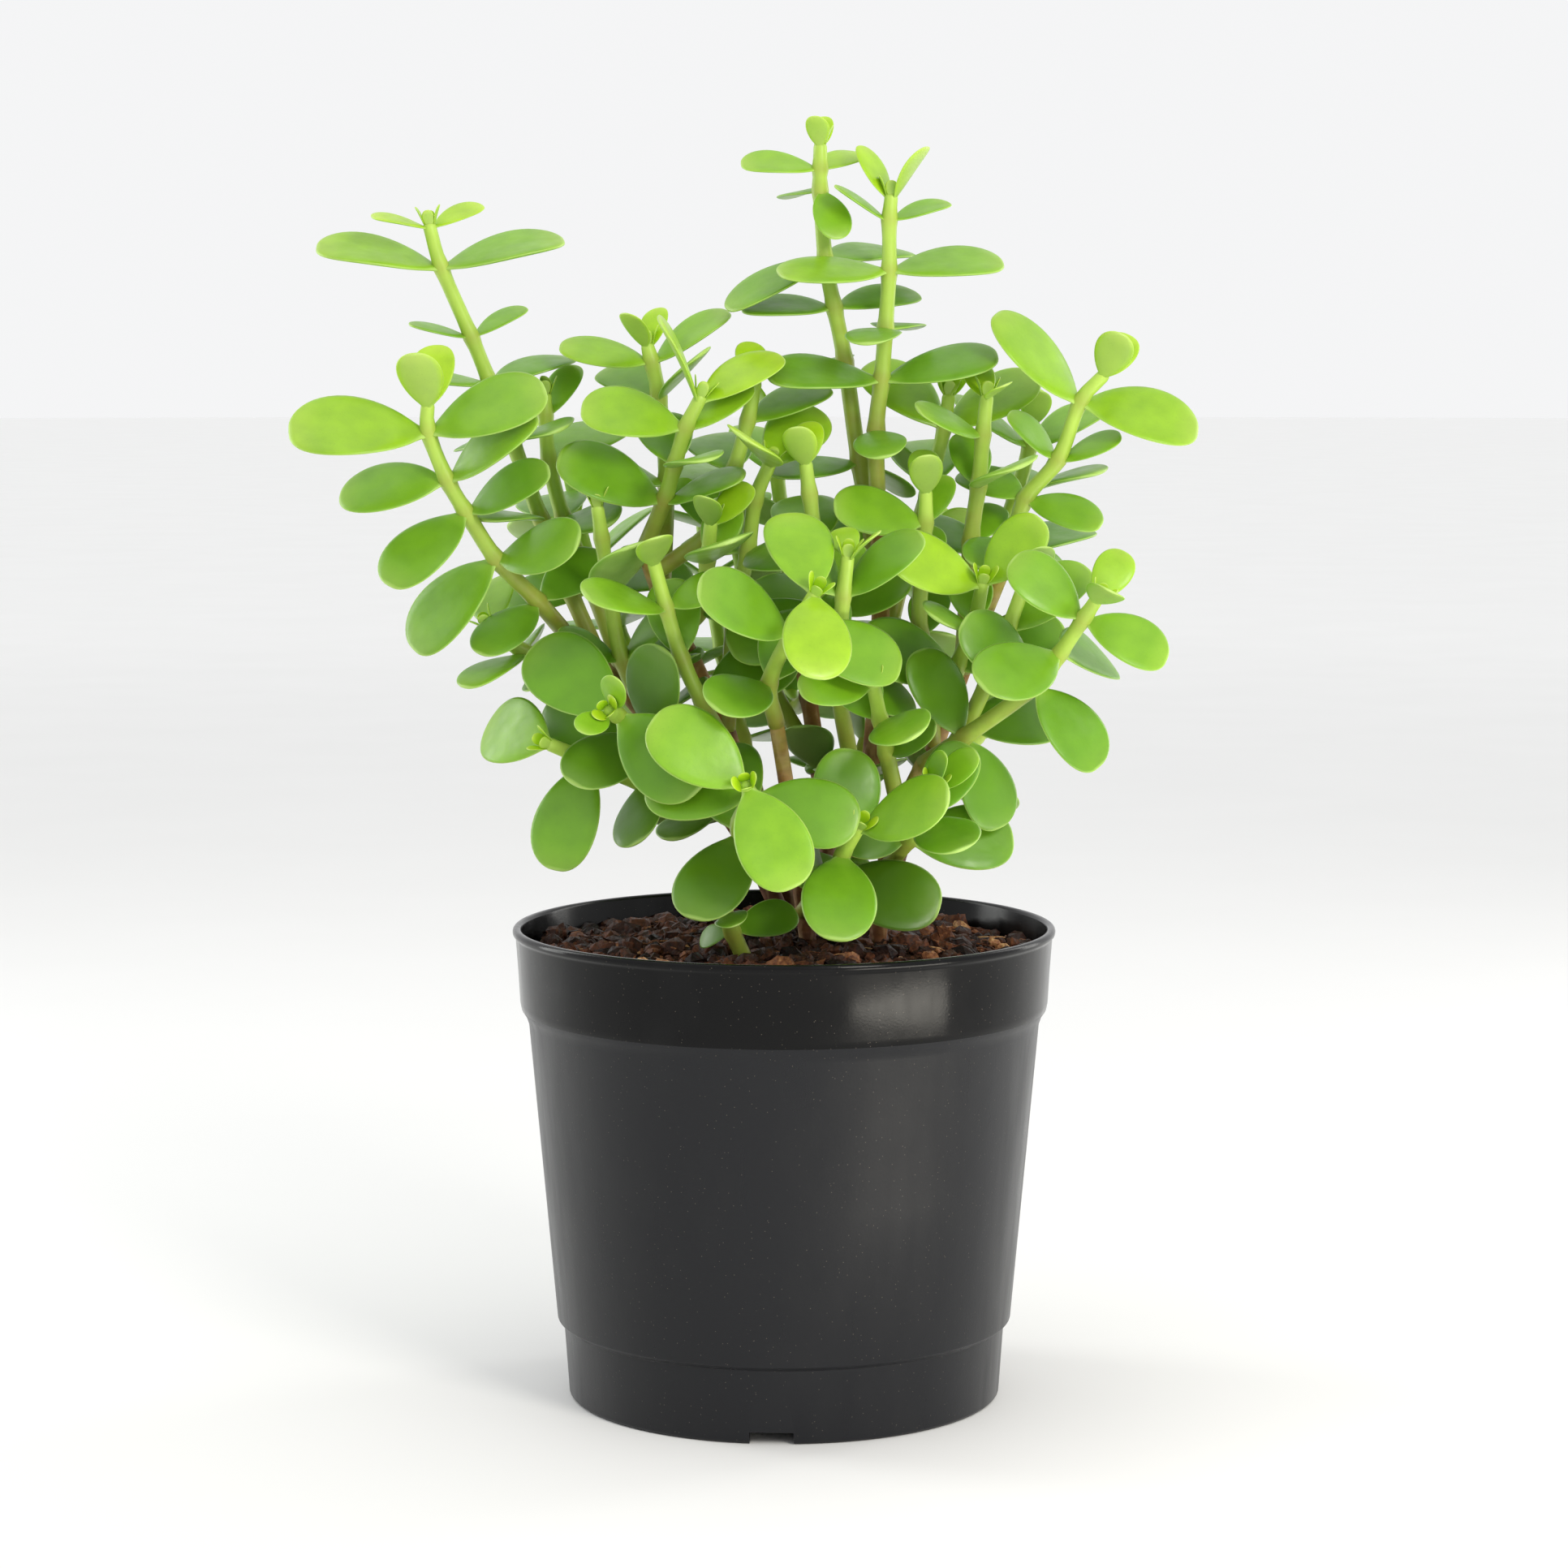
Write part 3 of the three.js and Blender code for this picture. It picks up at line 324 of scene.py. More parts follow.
class StemField:
    """Points every few millimetres along every stem, for the leaves to keep clear of."""

    def __init__(self, plans):
        points, radii, names = [], [], []
        for number, plan in enumerate(plans):
            joints = joint_points(plan)
            for a, b in zip(joints, joints[1:]):
                count = max(1, int(np.linalg.norm(b - a) / STEM_STEP))
                for k in range(count + 1):
                    points.append(mix(a, b, k / count))
                    radii.append(plan.get("radius", GREEN_FOOT_RADIUS))
                    names.append(number)
        self.points, self.radii, self.names = np.array(points), np.array(radii), np.array(names)

    def blocks(self, leaf, own):
        near = np.linalg.norm(self.points - leaf.middle, axis=1) <= 0.5 * leaf.length + STEM_REACH
        near &= (self.names != own) | (np.linalg.norm(self.points - leaf.base, axis=1) >= OWN_STEM_REACH)
        if not near.any():
            return False
        radii = self.radii[near]
        return bool(leaf.touches(self.points[near], radii + STEM_GAP, radii + STEM_RIM_GAP).any())


def meets_pot(points):
    r = np.hypot(points[:, 0], points[:, 1])
    inside = (r < RIM_RADIUS - RIM_INNER_MARGIN) & (points[:, 2] < SOIL_CENTRE_HEIGHT + SOIL_CLEARANCE)
    middle = (r >= RIM_RADIUS - RIM_INNER_MARGIN) & (r < RIM_RADIUS + RIM_OUTER_MARGIN)
    return bool((inside | (middle & (points[:, 2] < POT_HEIGHT + RIM_CLEARANCE))).any())


def leaves_meet(a, b):
    if np.linalg.norm(a.middle - b.middle) > LEAF_REACH_SHARE * (a.length + b.length):
        return False
    return any(one.touches(other.samples, LEAF_GAP, LEAF_RIM_GAP).any() for one, other in ((b, a), (a, b)))


def grow_leaves(plans):
    """Grows every pair in turn. A leaf takes its first clear place, and is left out if it finds none."""
    stems = StemField(plans)
    leaves = []
    for number, plan in enumerate(plans):
        places = joint_places(plan)
        turn = 0
        for i, joint in enumerate(plan["joints"]):
            if len(joint) < 4:
                continue
            turn = joint[4] if len(joint) > 4 else turn + 90
            age = min(len(places) - 1 - i, len(RISE_BY_AGE) - 1)
            for side in (1, -1):
                rise = 0 if "radius" in plan else RISE_BY_AGE[age]
                if len(joint) > 5:
                    rise = joint[5] if side == 1 else joint[6]
                for more_turn, more_rise, size in GIVE_WAY:
                    leaf = Leaf(places[i], plan, turn + more_turn, rise + more_rise, side, joint[3] * size)
                    if meets_pot(leaf.samples) or stems.blocks(leaf, number):
                        continue
                    if any(leaves_meet(leaf, other) for other in leaves):
                        continue
                    leaf.plan, leaf.joint, leaf.age = plan["name"], i, age
                    leaves.append(leaf)
                    break
    return leaves


# ---- Modelling helpers ----


def clear_selection():
    if bpy.context.mode != "OBJECT":
        bpy.ops.object.mode_set(mode="OBJECT")
    bpy.ops.object.select_all(action="DESELECT")


def select_only(*pieces):
    clear_selection()
    for piece in pieces:
        piece.select_set(True)
    bpy.context.view_layer.objects.active = pieces[0]


def apply_place(piece):
    select_only(piece)
    bpy.ops.object.transform_apply(location=True, rotation=True, scale=True)


def name_piece(piece, name):
    piece.name = name
    piece.data.name = name
    return piece


def join_pieces(name, pieces):
    select_only(*pieces)
    if len(pieces) > 1:
        bpy.ops.object.join()
    return name_piece(bpy.context.object, name)


def shade_smooth(piece):
    select_only(piece)
    bpy.ops.object.shade_smooth()


def apply_modifier(piece, kind, **settings):
    select_only(piece)
    modifier = piece.modifiers.new(kind.title(), kind)
    for name, value in settings.items():
        setattr(modifier, name, value)
    bpy.ops.object.modifier_apply(modifier=modifier.name)


def start_rings(sides, radius, place, turn=(0, 0, 0)):
    """A filled ring in edit mode with all of it selected, to be drawn out ring by ring."""
    clear_selection()
    bpy.ops.mesh.primitive_circle_add(
        vertices=sides, radius=radius, fill_type="NGON", location=place, rotation=turn)
    apply_place(bpy.context.object)
    bpy.ops.object.mode_set(mode="EDIT")
    bpy.ops.mesh.select_all(action="SELECT")


def end_rings(name):
    """Closes a body drawn from rings: merges its doubles, turns its faces outwards and names it."""
    bpy.ops.mesh.select_all(action="SELECT")
    bpy.ops.mesh.remove_doubles(threshold=MERGE_DISTANCE)
    bpy.ops.mesh.normals_make_consistent(inside=False)
    bpy.ops.object.mode_set(mode="OBJECT")
    return name_piece(bpy.context.object, name)


def turned_body(name, profile, sides):
    """A closed body of revolution about the vertical, drawn through (radius, height) stations."""
    radius, height = profile[0]
    start_rings(sides, radius, (0, 0, height))
    for next_radius, next_height in profile[1:]:
        bpy.ops.mesh.extrude_region_move(TRANSFORM_OT_translate={"value": (0, 0, next_height - height)})
        grow = next_radius / radius
        bpy.ops.transform.resize(value=(grow, grow, 1), center_override=(0, 0, next_height))
        radius, height = next_radius, next_height
    return end_rings(name)


def drawn_tube(name, stations, sides):
    """A closed round tube, drawn through (centre, direction, radius) stations."""
    centre, direction, radius = stations[0]
    start_rings(sides, radius, centre, direction.to_track_quat("Z", "Y").to_euler())
    for next_centre, next_direction, next_radius in stations[1:]:
        bpy.ops.mesh.extrude_region_move(TRANSFORM_OT_translate={"value": next_centre - centre})
        axis = direction.cross(next_direction)
        if axis.length > STRAIGHT:
            bpy.ops.transform.rotate(
                value=-direction.angle(next_direction), orient_axis="Z",
                orient_matrix=axis.to_track_quat("Z", "Y").to_matrix(), center_override=next_centre)
        grow = next_radius / radius
        bpy.ops.transform.resize(value=(grow, grow, grow), center_override=next_centre)
        centre, direction, radius = next_centre, next_direction, next_radius
    return end_rings(name)


def set_attribute(mesh, name, values):
    attribute = mesh.attributes.get(name) or mesh.attributes.new(name, "FLOAT", "POINT")
    attribute.data.foreach_set("value", np.asarray(values, dtype=np.float32))


def mesh_points(mesh):
    points = np.empty(3 * len(mesh.vertices), dtype=np.float32)
    mesh.vertices.foreach_get("co", points)
    return points.reshape(-1, 3)


def finish_piece(piece, node, materials):
    for material in materials:
        piece.data.materials.append(material)
    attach(piece, "root")
    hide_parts(node)


# ---- Finishes ----


def srgb(*channels):
    shares = [channel / 255 for channel in channels]
    linear = [c / 12.92 if c <= 0.04045 else ((c + 0.055) / 1.055) ** 2.4 for c in shares]
    return (*linear, 1.0)


class Finish:
    """A node material under construction."""

    def __init__(self, name, roughness, specular=0.5):
        self.material = bpy.data.materials.new(name)
        self.material.use_nodes = True
        self.tree = self.material.node_tree
        self.shader = self.tree.nodes["Principled BSDF"]
        self.shader.inputs["Roughness"].default_value = roughness
        self.shader.inputs["Specular IOR Level"].default_value = specular

    def link(self, source, target):
        self.tree.links.new(source, target)

    def add(self, kind, inputs=None, **settings):
        node = self.tree.nodes.new(kind)
        for name, value in settings.items():
            setattr(node, name, value)
        for name, value in (inputs or {}).items():
            if isinstance(value, bpy.types.NodeSocket):
                self.link(value, node.inputs[name])
            else:
                node.inputs[name].default_value = value
        return node

    def attribute(self, name):
        return self.add("ShaderNodeAttribute", attribute_name=name).outputs["Fac"]

    def place(self):
        return self.add("ShaderNodeTexCoord").outputs["Object"]

    def stretched_place(self, stretch):
        return self.add("ShaderNodeMapping", {"Vector": self.place(), "Scale": stretch}).outputs["Vector"]

    def noise(self, scale, detail=3.0, stretch=(1, 1, 1), roughness=0.5):
        place = self.stretched_place(stretch)
        inputs = {"Vector": place, "Scale": scale, "Detail": detail, "Roughness": roughness}
        return self.add("ShaderNodeTexNoise", inputs).outputs["Fac"]

    def spots(self, scale, stretch=(1, 1, 1)):
        inputs = {"Vector": self.stretched_place(stretch), "Scale": scale}
        return self.add("ShaderNodeTexVoronoi", inputs).outputs["Distance"]

    def span(self, value, low, high, to_low=0.0, to_high=1.0):
        inputs = {"Value": value, "From Min": low, "From Max": high, "To Min": to_low, "To Max": to_high}
        return self.add("ShaderNodeMapRange", inputs).outputs["Result"]

    def times(self, a, b):
        return self.add("ShaderNodeMath", {0: a, 1: b}, operation="MULTIPLY").outputs["Value"]

    def plus(self, a, b):
        """The sum, held between 0 and 1."""
        return self.add("ShaderNodeMath", {0: a, 1: b}, operation="ADD", use_clamp=True).outputs["Value"]

    def ramp(self, value, stops):
        node = self.add("ShaderNodeValToRGB", {"Fac": value})
        elements = node.color_ramp.elements
        while len(elements) < len(stops):
            elements.new(0.5)
        for element, (position, colour) in zip(elements, stops):
            element.position = position
            element.color = colour
        return node.outputs["Color"]

    def blend(self, share, a, b):
        return self.add("ShaderNodeMixRGB", {"Fac": share, "Color1": a, "Color2": b}).outputs["Color"]

    def colour(self, socket):
        self.link(socket, self.shader.inputs["Base Color"])

    def roughness(self, socket):
        self.link(socket, self.shader.inputs["Roughness"])

    def glow(self, weight, radius, scale):
        """Light that goes under the surface and comes out again."""
        self.shader.inputs["Subsurface Weight"].default_value = weight
        self.shader.inputs["Subsurface Radius"].default_value = radius
        self.shader.inputs["Subsurface Scale"].default_value = scale

    def bump(self, *layers):
        """Stacks bumps of (height socket, strength, distance)."""
        normal = None
        for height, strength, distance in layers:
            node = self.add("ShaderNodeBump", {"Height": height, "Strength": strength, "Distance": distance})
            if normal is not None:
                self.link(normal, node.inputs["Normal"])
            normal = node.outputs["Normal"]
        self.link(normal, self.shader.inputs["Normal"])


def leaf_finish(sizes):
    finish = Finish("jade_leaf", 0.36, 0.45)
    youth, tint, margin, along, upper = (
        finish.attribute(name) for name in ("youth", "tint", "margin", "along", "upper"))
    age = finish.plus(youth, finish.span(tint, 0, 1, -0.12, 0.12))
    colour = finish.ramp(age, [
        (0.0, (*sizes.old_leaf, 1)), (0.35, (*sizes.grown_leaf, 1)),
        (0.7, (*sizes.young_leaf, 1)), (1.0, (*sizes.newest_leaf, 1)),
    ])
    mottle = finish.noise(130, 4)
    colour = finish.blend(finish.span(mottle, 0.35, 0.75, 0, 0.3), colour, srgb(66, 112, 22))
    under = finish.blend(0.5, colour, srgb(164, 188, 116))
    colour = finish.blend(upper, under, colour)
    foot = finish.span(along, 0.16, 0.0, 0, 0.45)
    colour = finish.blend(foot, colour, srgb(158, 196, 76))
    tip_glow = finish.times(finish.span(along, 0.75, 1.0, 0, 0.22), youth)
    colour = finish.blend(tip_glow, colour, srgb(222, 232, 120))
    # Pale line along the margin: partly the blade's own paler rim, partly painted highlight and painted glow
    # of light through the thin edge.
    line = finish.span(margin, 0.03, 0.006, 0, 0.55)
    colour = finish.blend(line, colour, srgb(186, 216, 118))
    pores = finish.spots(1100)
    colour = finish.blend(finish.span(pores, 0.22, 0.1, 0, 0.14), colour, srgb(70, 110, 40))
    finish.colour(colour)
    finish.roughness(finish.span(finish.noise(240, 3), 0.3, 0.75, 0.3, 0.46))
    finish.bump((finish.noise(90, 2), 0.35, 0.0006), (finish.noise(700, 2), 0.25, 0.0001))
    finish.glow(0.18, (0.6, 1.0, 0.25), 0.002)
    return finish.material


def stem_finish():
    finish = Finish("green_stem", 0.42, 0.4)
    age, scar = finish.attribute("age"), finish.attribute("scar")
    wander = finish.span(finish.noise(140, 4), 0.3, 0.7, -0.12, 0.12)
    colour = finish.ramp(finish.plus(age, wander), [
        (0.0, srgb(176, 208, 84)), (0.45, srgb(160, 190, 72)),
        (0.75, srgb(150, 158, 62)), (1.0, srgb(144, 120, 56)),
    ])
    streaks = finish.noise(260, 3, (1, 1, 0.2))
    colour = finish.blend(finish.span(streaks, 0.45, 0.75, 0, 0.3), colour, srgb(128, 160, 60))
    colour = finish.blend(finish.times(scar, 0.22), colour, srgb(140, 100, 50))
    finish.colour(colour)
    finish.bump((finish.noise(400, 3, (1, 1, 0.4)), 0.3, 0.0004))
    finish.glow(0.12, (0.6, 0.9, 0.2), 0.0015)
    return finish.material


def bark_finish():
    finish = Finish("jade_bark", 0.6, 0.35)
    age, scar = finish.attribute("age"), finish.attribute("scar")
    wander = finish.span(finish.noise(90, 5), 0.3, 0.7, -0.25, 0.25)
    colour = finish.ramp(finish.plus(age, wander), [
        (0.0, srgb(152, 142, 60)), (0.3, srgb(160, 118, 60)),
        (0.65, srgb(128, 80, 48)), (1.0, srgb(80, 48, 34)),
    ])
    rings = finish.noise(500, 4, (0.3, 0.3, 1))
    colour = finish.blend(finish.span(rings, 0.5, 0.75, 0, 0.5), colour, srgb(70, 44, 30))
    flakes = finish.spots(420, (1, 1, 0.35))
    colour = finish.blend(finish.span(flakes, 0.5, 0.75, 0, 0.3), colour, srgb(206, 176, 130))
    colour = finish.blend(finish.times(scar, 0.6), colour, srgb(74, 46, 32))
    finish.colour(colour)
    finish.roughness(finish.span(finish.noise(200, 3), 0.3, 0.7, 0.48, 0.75))
    finish.bump((rings, 0.7, 0.0008), (finish.noise(900, 3), 0.4, 0.0003))
    return finish.material


def pot_finish(name, sizes, colour, roughness, specular):
    finish = Finish(name, roughness, specular)
    dust = finish.noise(38, 6, (1, 1, 0.5), 0.62)
    base = finish.blend(finish.span(dust, 0.5, 0.8, 0, 0.35), (*colour, 1), (*sizes.dust_colour, 1))
    specks = finish.spots(620)
    base = finish.blend(finish.span(specks, 0.1, 0.06, 0, 0.35), base, srgb(120, 112, 100))
    finish.colour(base)
    scuffs = finish.noise(150, 5, (1, 1, 0.12), 0.6)
    finish.roughness(finish.span(scuffs, 0.3, 0.75, roughness - 0.04, roughness + 0.1))
    finish.bump((finish.noise(1500, 2), 0.12, 0.00012), (finish.noise(60, 2), 0.12, 0.0008))
    return finish.material


def soil_finish():
    finish = Finish("potting_soil", 0.9, 0.1)
    crumbs = finish.noise(700, 6)
    colour = finish.ramp(crumbs, [
        (0.25, srgb(24, 15, 12)), (0.5, srgb(58, 36, 26)),
        (0.7, srgb(98, 62, 42)), (0.85, srgb(136, 96, 66)),
    ])
    finish.colour(colour)
    finish.bump((crumbs, 1.0, 0.002), (finish.noise(2400, 3), 0.6, 0.0005))
    return finish.material


def chip_finish():
    finish = Finish("bark_chip", 0.62, 0.2)
    tint = finish.attribute("tint")
    grain = finish.noise(900, 5, (1, 0.3, 1))
    colour = finish.ramp(finish.plus(tint, finish.span(grain, 0.3, 0.7, -0.18, 0.18)), [
        (0.0, srgb(20, 11, 9)), (0.35, srgb(54, 29, 19)), (0.65, srgb(96, 56, 36)),
        (0.85, srgb(142, 94, 60)), (1.0, srgb(190, 150, 106)),
    ])
    finish.colour(colour)
    finish.roughness(finish.span(grain, 0.3, 0.7, 0.42, 0.8))
    finish.bump((grain, 0.8, 0.0008))
    return finish.material


def floor_finish():
    finish = Finish("pale_floor", 0.7, 0.2)
    # The floor gets paler with distance from the pot: painted light, so the far floor fades into the bright
    # room at the horizon.
    far = finish.add("ShaderNodeVectorMath", {0: finish.place()}, operation="LENGTH").outputs["Value"]
    ground = finish.blend(finish.span(far, 0.4, 3.0), srgb(232, 232, 231), srgb(251, 251, 250))
    soft = finish.noise(9, 3)
    finish.colour(finish.blend(finish.span(soft, 0.3, 0.7, 0, 0.1), ground, srgb(226, 226, 224)))
    return finish.material


# ---- Sizes and colours ----

POT_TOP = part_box("pot")[1][2]


class JADE_PG_pot(PropertyGroup):
    """Sizes and colours of the nursery pot."""

    rim_radius: FloatProperty(
        name="Rim radius", description="Outer radius of the rim", unit="LENGTH", default=RIM_RADIUS * MM)
    height: FloatProperty(name="Height", description="Height of the pot", unit="LENGTH", default=POT_TOP)
    wall: FloatProperty(
        name="Wall", description="Thickness of the moulded wall", unit="LENGTH", default=0.0016)
    sides: IntProperty(name="Sides", description="Sides of the turned shape", default=112)
    band_colour: FloatVectorProperty(
        name="Band colour", description="Colour of the rim band",
        subtype="COLOR", default=srgb(6, 6, 7)[:3])
    wall_colour: FloatVectorProperty(
        name="Wall colour", description="Colour of the tapered wall",
        subtype="COLOR", default=srgb(18, 19, 23)[:3])
    dust_colour: FloatVectorProperty(
        name="Dust colour", description="Colour of dried splashes",
        subtype="COLOR", default=srgb(34, 34, 35)[:3])


class JADE_PG_soil(PropertyGroup):
    """Sizes of the potting soil."""

    chips: IntProperty(name="Chips", description="Number of loose bark chips", default=1500)
    chip_size: FloatProperty(
        name="Chip size", description="Length of a middling chip", unit="LENGTH", default=0.0042)
    fibres: IntProperty(name="Fibres", description="Number of loose root fibres", default=70)


class JADE_PG_plant(PropertyGroup):
    """Colours and fineness of the stems and leaves."""

    stem_sides: IntProperty(name="Stem sides", description="Sides of a green stem", default=10)
    old_leaf: FloatVectorProperty(
        name="Old leaf", description="Colour of the oldest leaves",
        subtype="COLOR", default=srgb(74, 112, 10)[:3])
    grown_leaf: FloatVectorProperty(
        name="Grown leaf", description="Colour of full-grown leaves",
        subtype="COLOR", default=srgb(100, 152, 22)[:3])
    young_leaf: FloatVectorProperty(
        name="Young leaf", description="Colour of young leaves",
        subtype="COLOR", default=srgb(130, 180, 30)[:3])
    newest_leaf: FloatVectorProperty(
        name="Newest leaf", description="Colour of the youngest leaves",
        subtype="COLOR", default=srgb(172, 210, 26)[:3])


class JADE_PG_stage(PropertyGroup):
    """The camera, the floor and the lights."""

    camera_distance: FloatProperty(
        name="Camera distance", description="Distance from the pot's axis", unit="LENGTH", default=1.15)
    camera_height: FloatProperty(
        name="Camera height", description="Height above the floor", unit="LENGTH", default=0.2975)
    camera_dip: FloatProperty(
        name="Camera dip", description="Angle below the horizon",
        subtype="ANGLE", unit="ROTATION", default=0.10815)
    lens: FloatProperty(name="Lens", description="Focal length on a 36 mm sensor", default=95.0)
    floor_radius: FloatProperty(
        name="Floor radius", description="Radius of the pale floor", unit="LENGTH", default=14.0)
    key_power: FloatProperty(name="Key light", description="Power of the soft key light", default=7.5)
    window_power: FloatProperty(
        name="Low light", description="Power of the low light mirrored in the rim band", default=0.5)
    fill_power: FloatProperty(name="Fill light", description="Power of the soft fill light", default=2.5)


# ---- Pot ----

FOOT_NOTCHES = 3
FIRST_NOTCH_TURN = math.radians(-93.2)
NOTCH_CIRCLE = 0.0588
NOTCH_SIZE = (0.012, 0.012, 0.0068)
DRAIN_HOLES = 6
DRAIN_CIRCLE = 0.034
DRAIN_RADIUS = 0.0045
DRAIN_SIDES = 28
BAND_DEPTH = 0.0225


def circle_place(radius, turn):
    return radius * math.cos(turn), radius * math.sin(turn), 0


def notch_cutter(turn):
    bpy.ops.mesh.primitive_cube_add(
        size=1, location=circle_place(NOTCH_CIRCLE, turn), rotation=(0, 0, turn), scale=NOTCH_SIZE)


def drain_cutter(turn):
    bpy.ops.mesh.primitive_cylinder_add(
        vertices=DRAIN_SIDES, radius=DRAIN_RADIUS, depth=0.03, location=circle_place(DRAIN_CIRCLE, turn))


class JADE_OT_pot(Operator):
    """Turn the nursery pot, bevel its steps and cut its foot notches and drain holes"""

    bl_idname = "jade.pot"
    bl_label = "Nursery Pot"

    def execute(self, context):
        sizes = context.scene.jade_pot
        h, rim, wall = sizes.height, sizes.rim_radius, sizes.wall
        # Up the outside from the centre foot to the lip, then down the inside to the floor.
        profile = [
            (0.014, 0.0), (0.014, 0.0035), (0.0568, 0.0035), (0.0568, 0.0), (0.0600, 0.0), (0.0608, 0.0008),
            (0.0622, 0.0206), (0.0640, 0.0220), (0.0678, 0.0640), (0.0716, h - 0.0269), (0.0724, h - 0.0246),
            (0.0736, h - 0.0228), (0.0740, h - 0.0208), (0.0745, h - 0.0120), (0.0752, h - 0.0026),
            (rim, h - 0.0018), (rim, h - 0.0006), (rim - 0.0006, h), (rim - 0.0018, h),
            (rim - 0.0024, h - 0.0006), (0.0740 - wall, h - 0.0215), (0.0716 - wall, h - 0.0269),
            (0.0640 - wall, 0.0210), (0.0608 - wall, 0.0055), (0.020, 0.0055),
        ]
        pot = turned_body("nursery_pot", profile, sizes.sides)
        apply_modifier(
            pot, "BEVEL", width=0.00035, segments=2, limit_method="ANGLE", angle_limit=math.radians(28))
        cutters = []
        for cut, count, first_turn in (
                (notch_cutter, FOOT_NOTCHES, FIRST_NOTCH_TURN), (drain_cutter, DRAIN_HOLES, 0.0)):
            for i in range(count):
                clear_selection()
                cut(first_turn + 2 * math.pi * i / count)
                cutters.append(bpy.context.object)
        cutter = join_pieces("cutters", cutters)
        apply_place(cutter)
        apply_modifier(pot, "BOOLEAN", operation="DIFFERENCE", object=cutter, solver="EXACT")
        bpy.data.objects.remove(cutter)
        select_only(pot)
        bpy.ops.object.shade_smooth_by_angle(angle=math.radians(32))
        finish_piece(pot, "pot", [
            pot_finish("pot_wall", sizes, sizes.wall_colour, 0.3, 0.3),
            pot_finish("pot_band", sizes, sizes.band_colour, 0.16, 0.18),
        ])
        for face in pot.data.polygons:
            face.material_index = 1 if face.center.z > h - BAND_DEPTH else 0
        return {"FINISHED"}


# ---- Soil ----


SOIL_EDGE_HEIGHT = 0.1246
SOIL_DOME = 0.0034
SOIL_RADIUS = 0.072
SOIL_SIDES = 96
SOIL_SIDE = [(0.0588, 0.0059), (0.0618, 0.0215), (0.0694, 0.1061), (0.0718, 0.1118), (0.0721, 0.1240)]
SOIL_RINGS = [0.0719 - 0.0045 * i for i in range(16)]
SOIL_ROUGHNESS = 0.0011

# Length, width and thickness of each kind of chip.
CHIP_KINDS = ((1, 0.6, 0.28), (1, 0.8, 0.5), (1, 0.35, 0.2), (1, 0.9, 0.35), (1, 0.7, 0.6))
CHIP_SIZES = (0.45, 0.6, 0.8, 1.0, 1.35)
CHIP_REACH = 0.0705
CHIP_LIMIT = 0.0712
CHIP_TILT = 0.35

FIBRE_REACH = 0.066
FIBRE_LIMIT = 0.0708
FIBRE_RADIUS = 0.00022
FIBRE_LIFT = 0.0012
FIBRE_STEP = 0.0028
FIBRE_POINTS = 5


def dome_height(r):
    return SOIL_EDGE_HEIGHT + SOIL_DOME * max(0.0, 1 - (r / SOIL_RADIUS) ** 2)


def soil_height(x, y):
    return dome_height(math.hypot(x, y)) + 0.0009 * math.sin(90 * x + 1.3) * math.sin(110 * y + 0.4)


def scatter(chance, reach):
    """A random radius and turn, evenly spread over a disc."""
    return reach * math.sqrt(chance.random()), chance.uniform(0, 2 * math.pi)


def soil_fill():
    dome = [(r, dome_height(r)) for r in SOIL_RINGS]
    soil = turned_body("soil_fill", SOIL_SIDE + dome, SOIL_SIDES)
    bpy.ops.object.mode_set(mode="EDIT")
    edit = bmesh.from_edit_mesh(soil.data)
    for vertex in edit.verts:
        vertex.select_set(vertex.co.z > 0.1243 and vertex.co.xy.length < 0.071)
    edit.select_flush_mode()
    bmesh.update_edit_mesh(soil.data)
    bpy.ops.transform.vertex_random(offset=SOIL_ROUGHNESS, uniform=1.0, seed=SEED)
    bpy.ops.object.mode_set(mode="OBJECT")
    shade_smooth(soil)
    return soil


def chip_shapes():
    """Rough chips of bark and peat, a unit long, as masters for the copies."""
    shapes = []
    for number, size in enumerate(CHIP_KINDS):
        clear_selection()
        bpy.ops.mesh.primitive_cube_add(size=1, location=(0, 0, 0), scale=size)
        piece = bpy.context.object
        apply_place(piece)
        bpy.ops.object.mode_set(mode="EDIT")
        bpy.ops.mesh.select_all(action="SELECT")
        bpy.ops.mesh.subdivide(number_cuts=1, smoothness=0.6)
        bpy.ops.transform.vertex_random(offset=0.16, uniform=1.0, seed=SEED + number)
        bpy.ops.mesh.normals_make_consistent(inside=False)
        bpy.ops.object.mode_set(mode="OBJECT")
        set_attribute(piece.data, "tint", [0.0] * len(piece.data.vertices))
        shapes.append(piece)
    return shapes


def copy_shape(shape, matrix, values):
    """A copy of a shape with its own mesh, placed by a matrix, with its attributes filled."""
    mesh = shape.data.copy()
    mesh.transform(matrix)
    for name, value in values.items():
        set_attribute(mesh, name, [value] * len(mesh.vertices))
    piece = bpy.data.objects.new(shape.name, mesh)
    bpy.context.collection.objects.link(piece)
    return piece


def strewn_chip(shapes, chip_size, chance):
    r, a = scatter(chance, CHIP_REACH)
    size = chip_size * chance.choice(CHIP_SIZES) * chance.uniform(0.8, 1.2)
    r = min(r, CHIP_LIMIT - size * 0.5)
    x, y = r * math.cos(a), r * math.sin(a)
    turn = Matrix.Rotation(chance.uniform(0, 2 * math.pi), 4, "Z")
    turn = turn @ Matrix.Rotation(chance.gauss(0, CHIP_TILT), 4, "X")
    turn = turn @ Matrix.Rotation(chance.gauss(0, CHIP_TILT), 4, "Y")
    place = Matrix.Translation((x, y, soil_height(x, y) + size * 0.12))
    place = place @ turn @ Matrix.Diagonal((size, size, size, 1))
    shape = chance.choice(shapes)
    return copy_shape(shape, place, {"tint": min(1, abs(chance.gauss(0.35, 0.24)))})


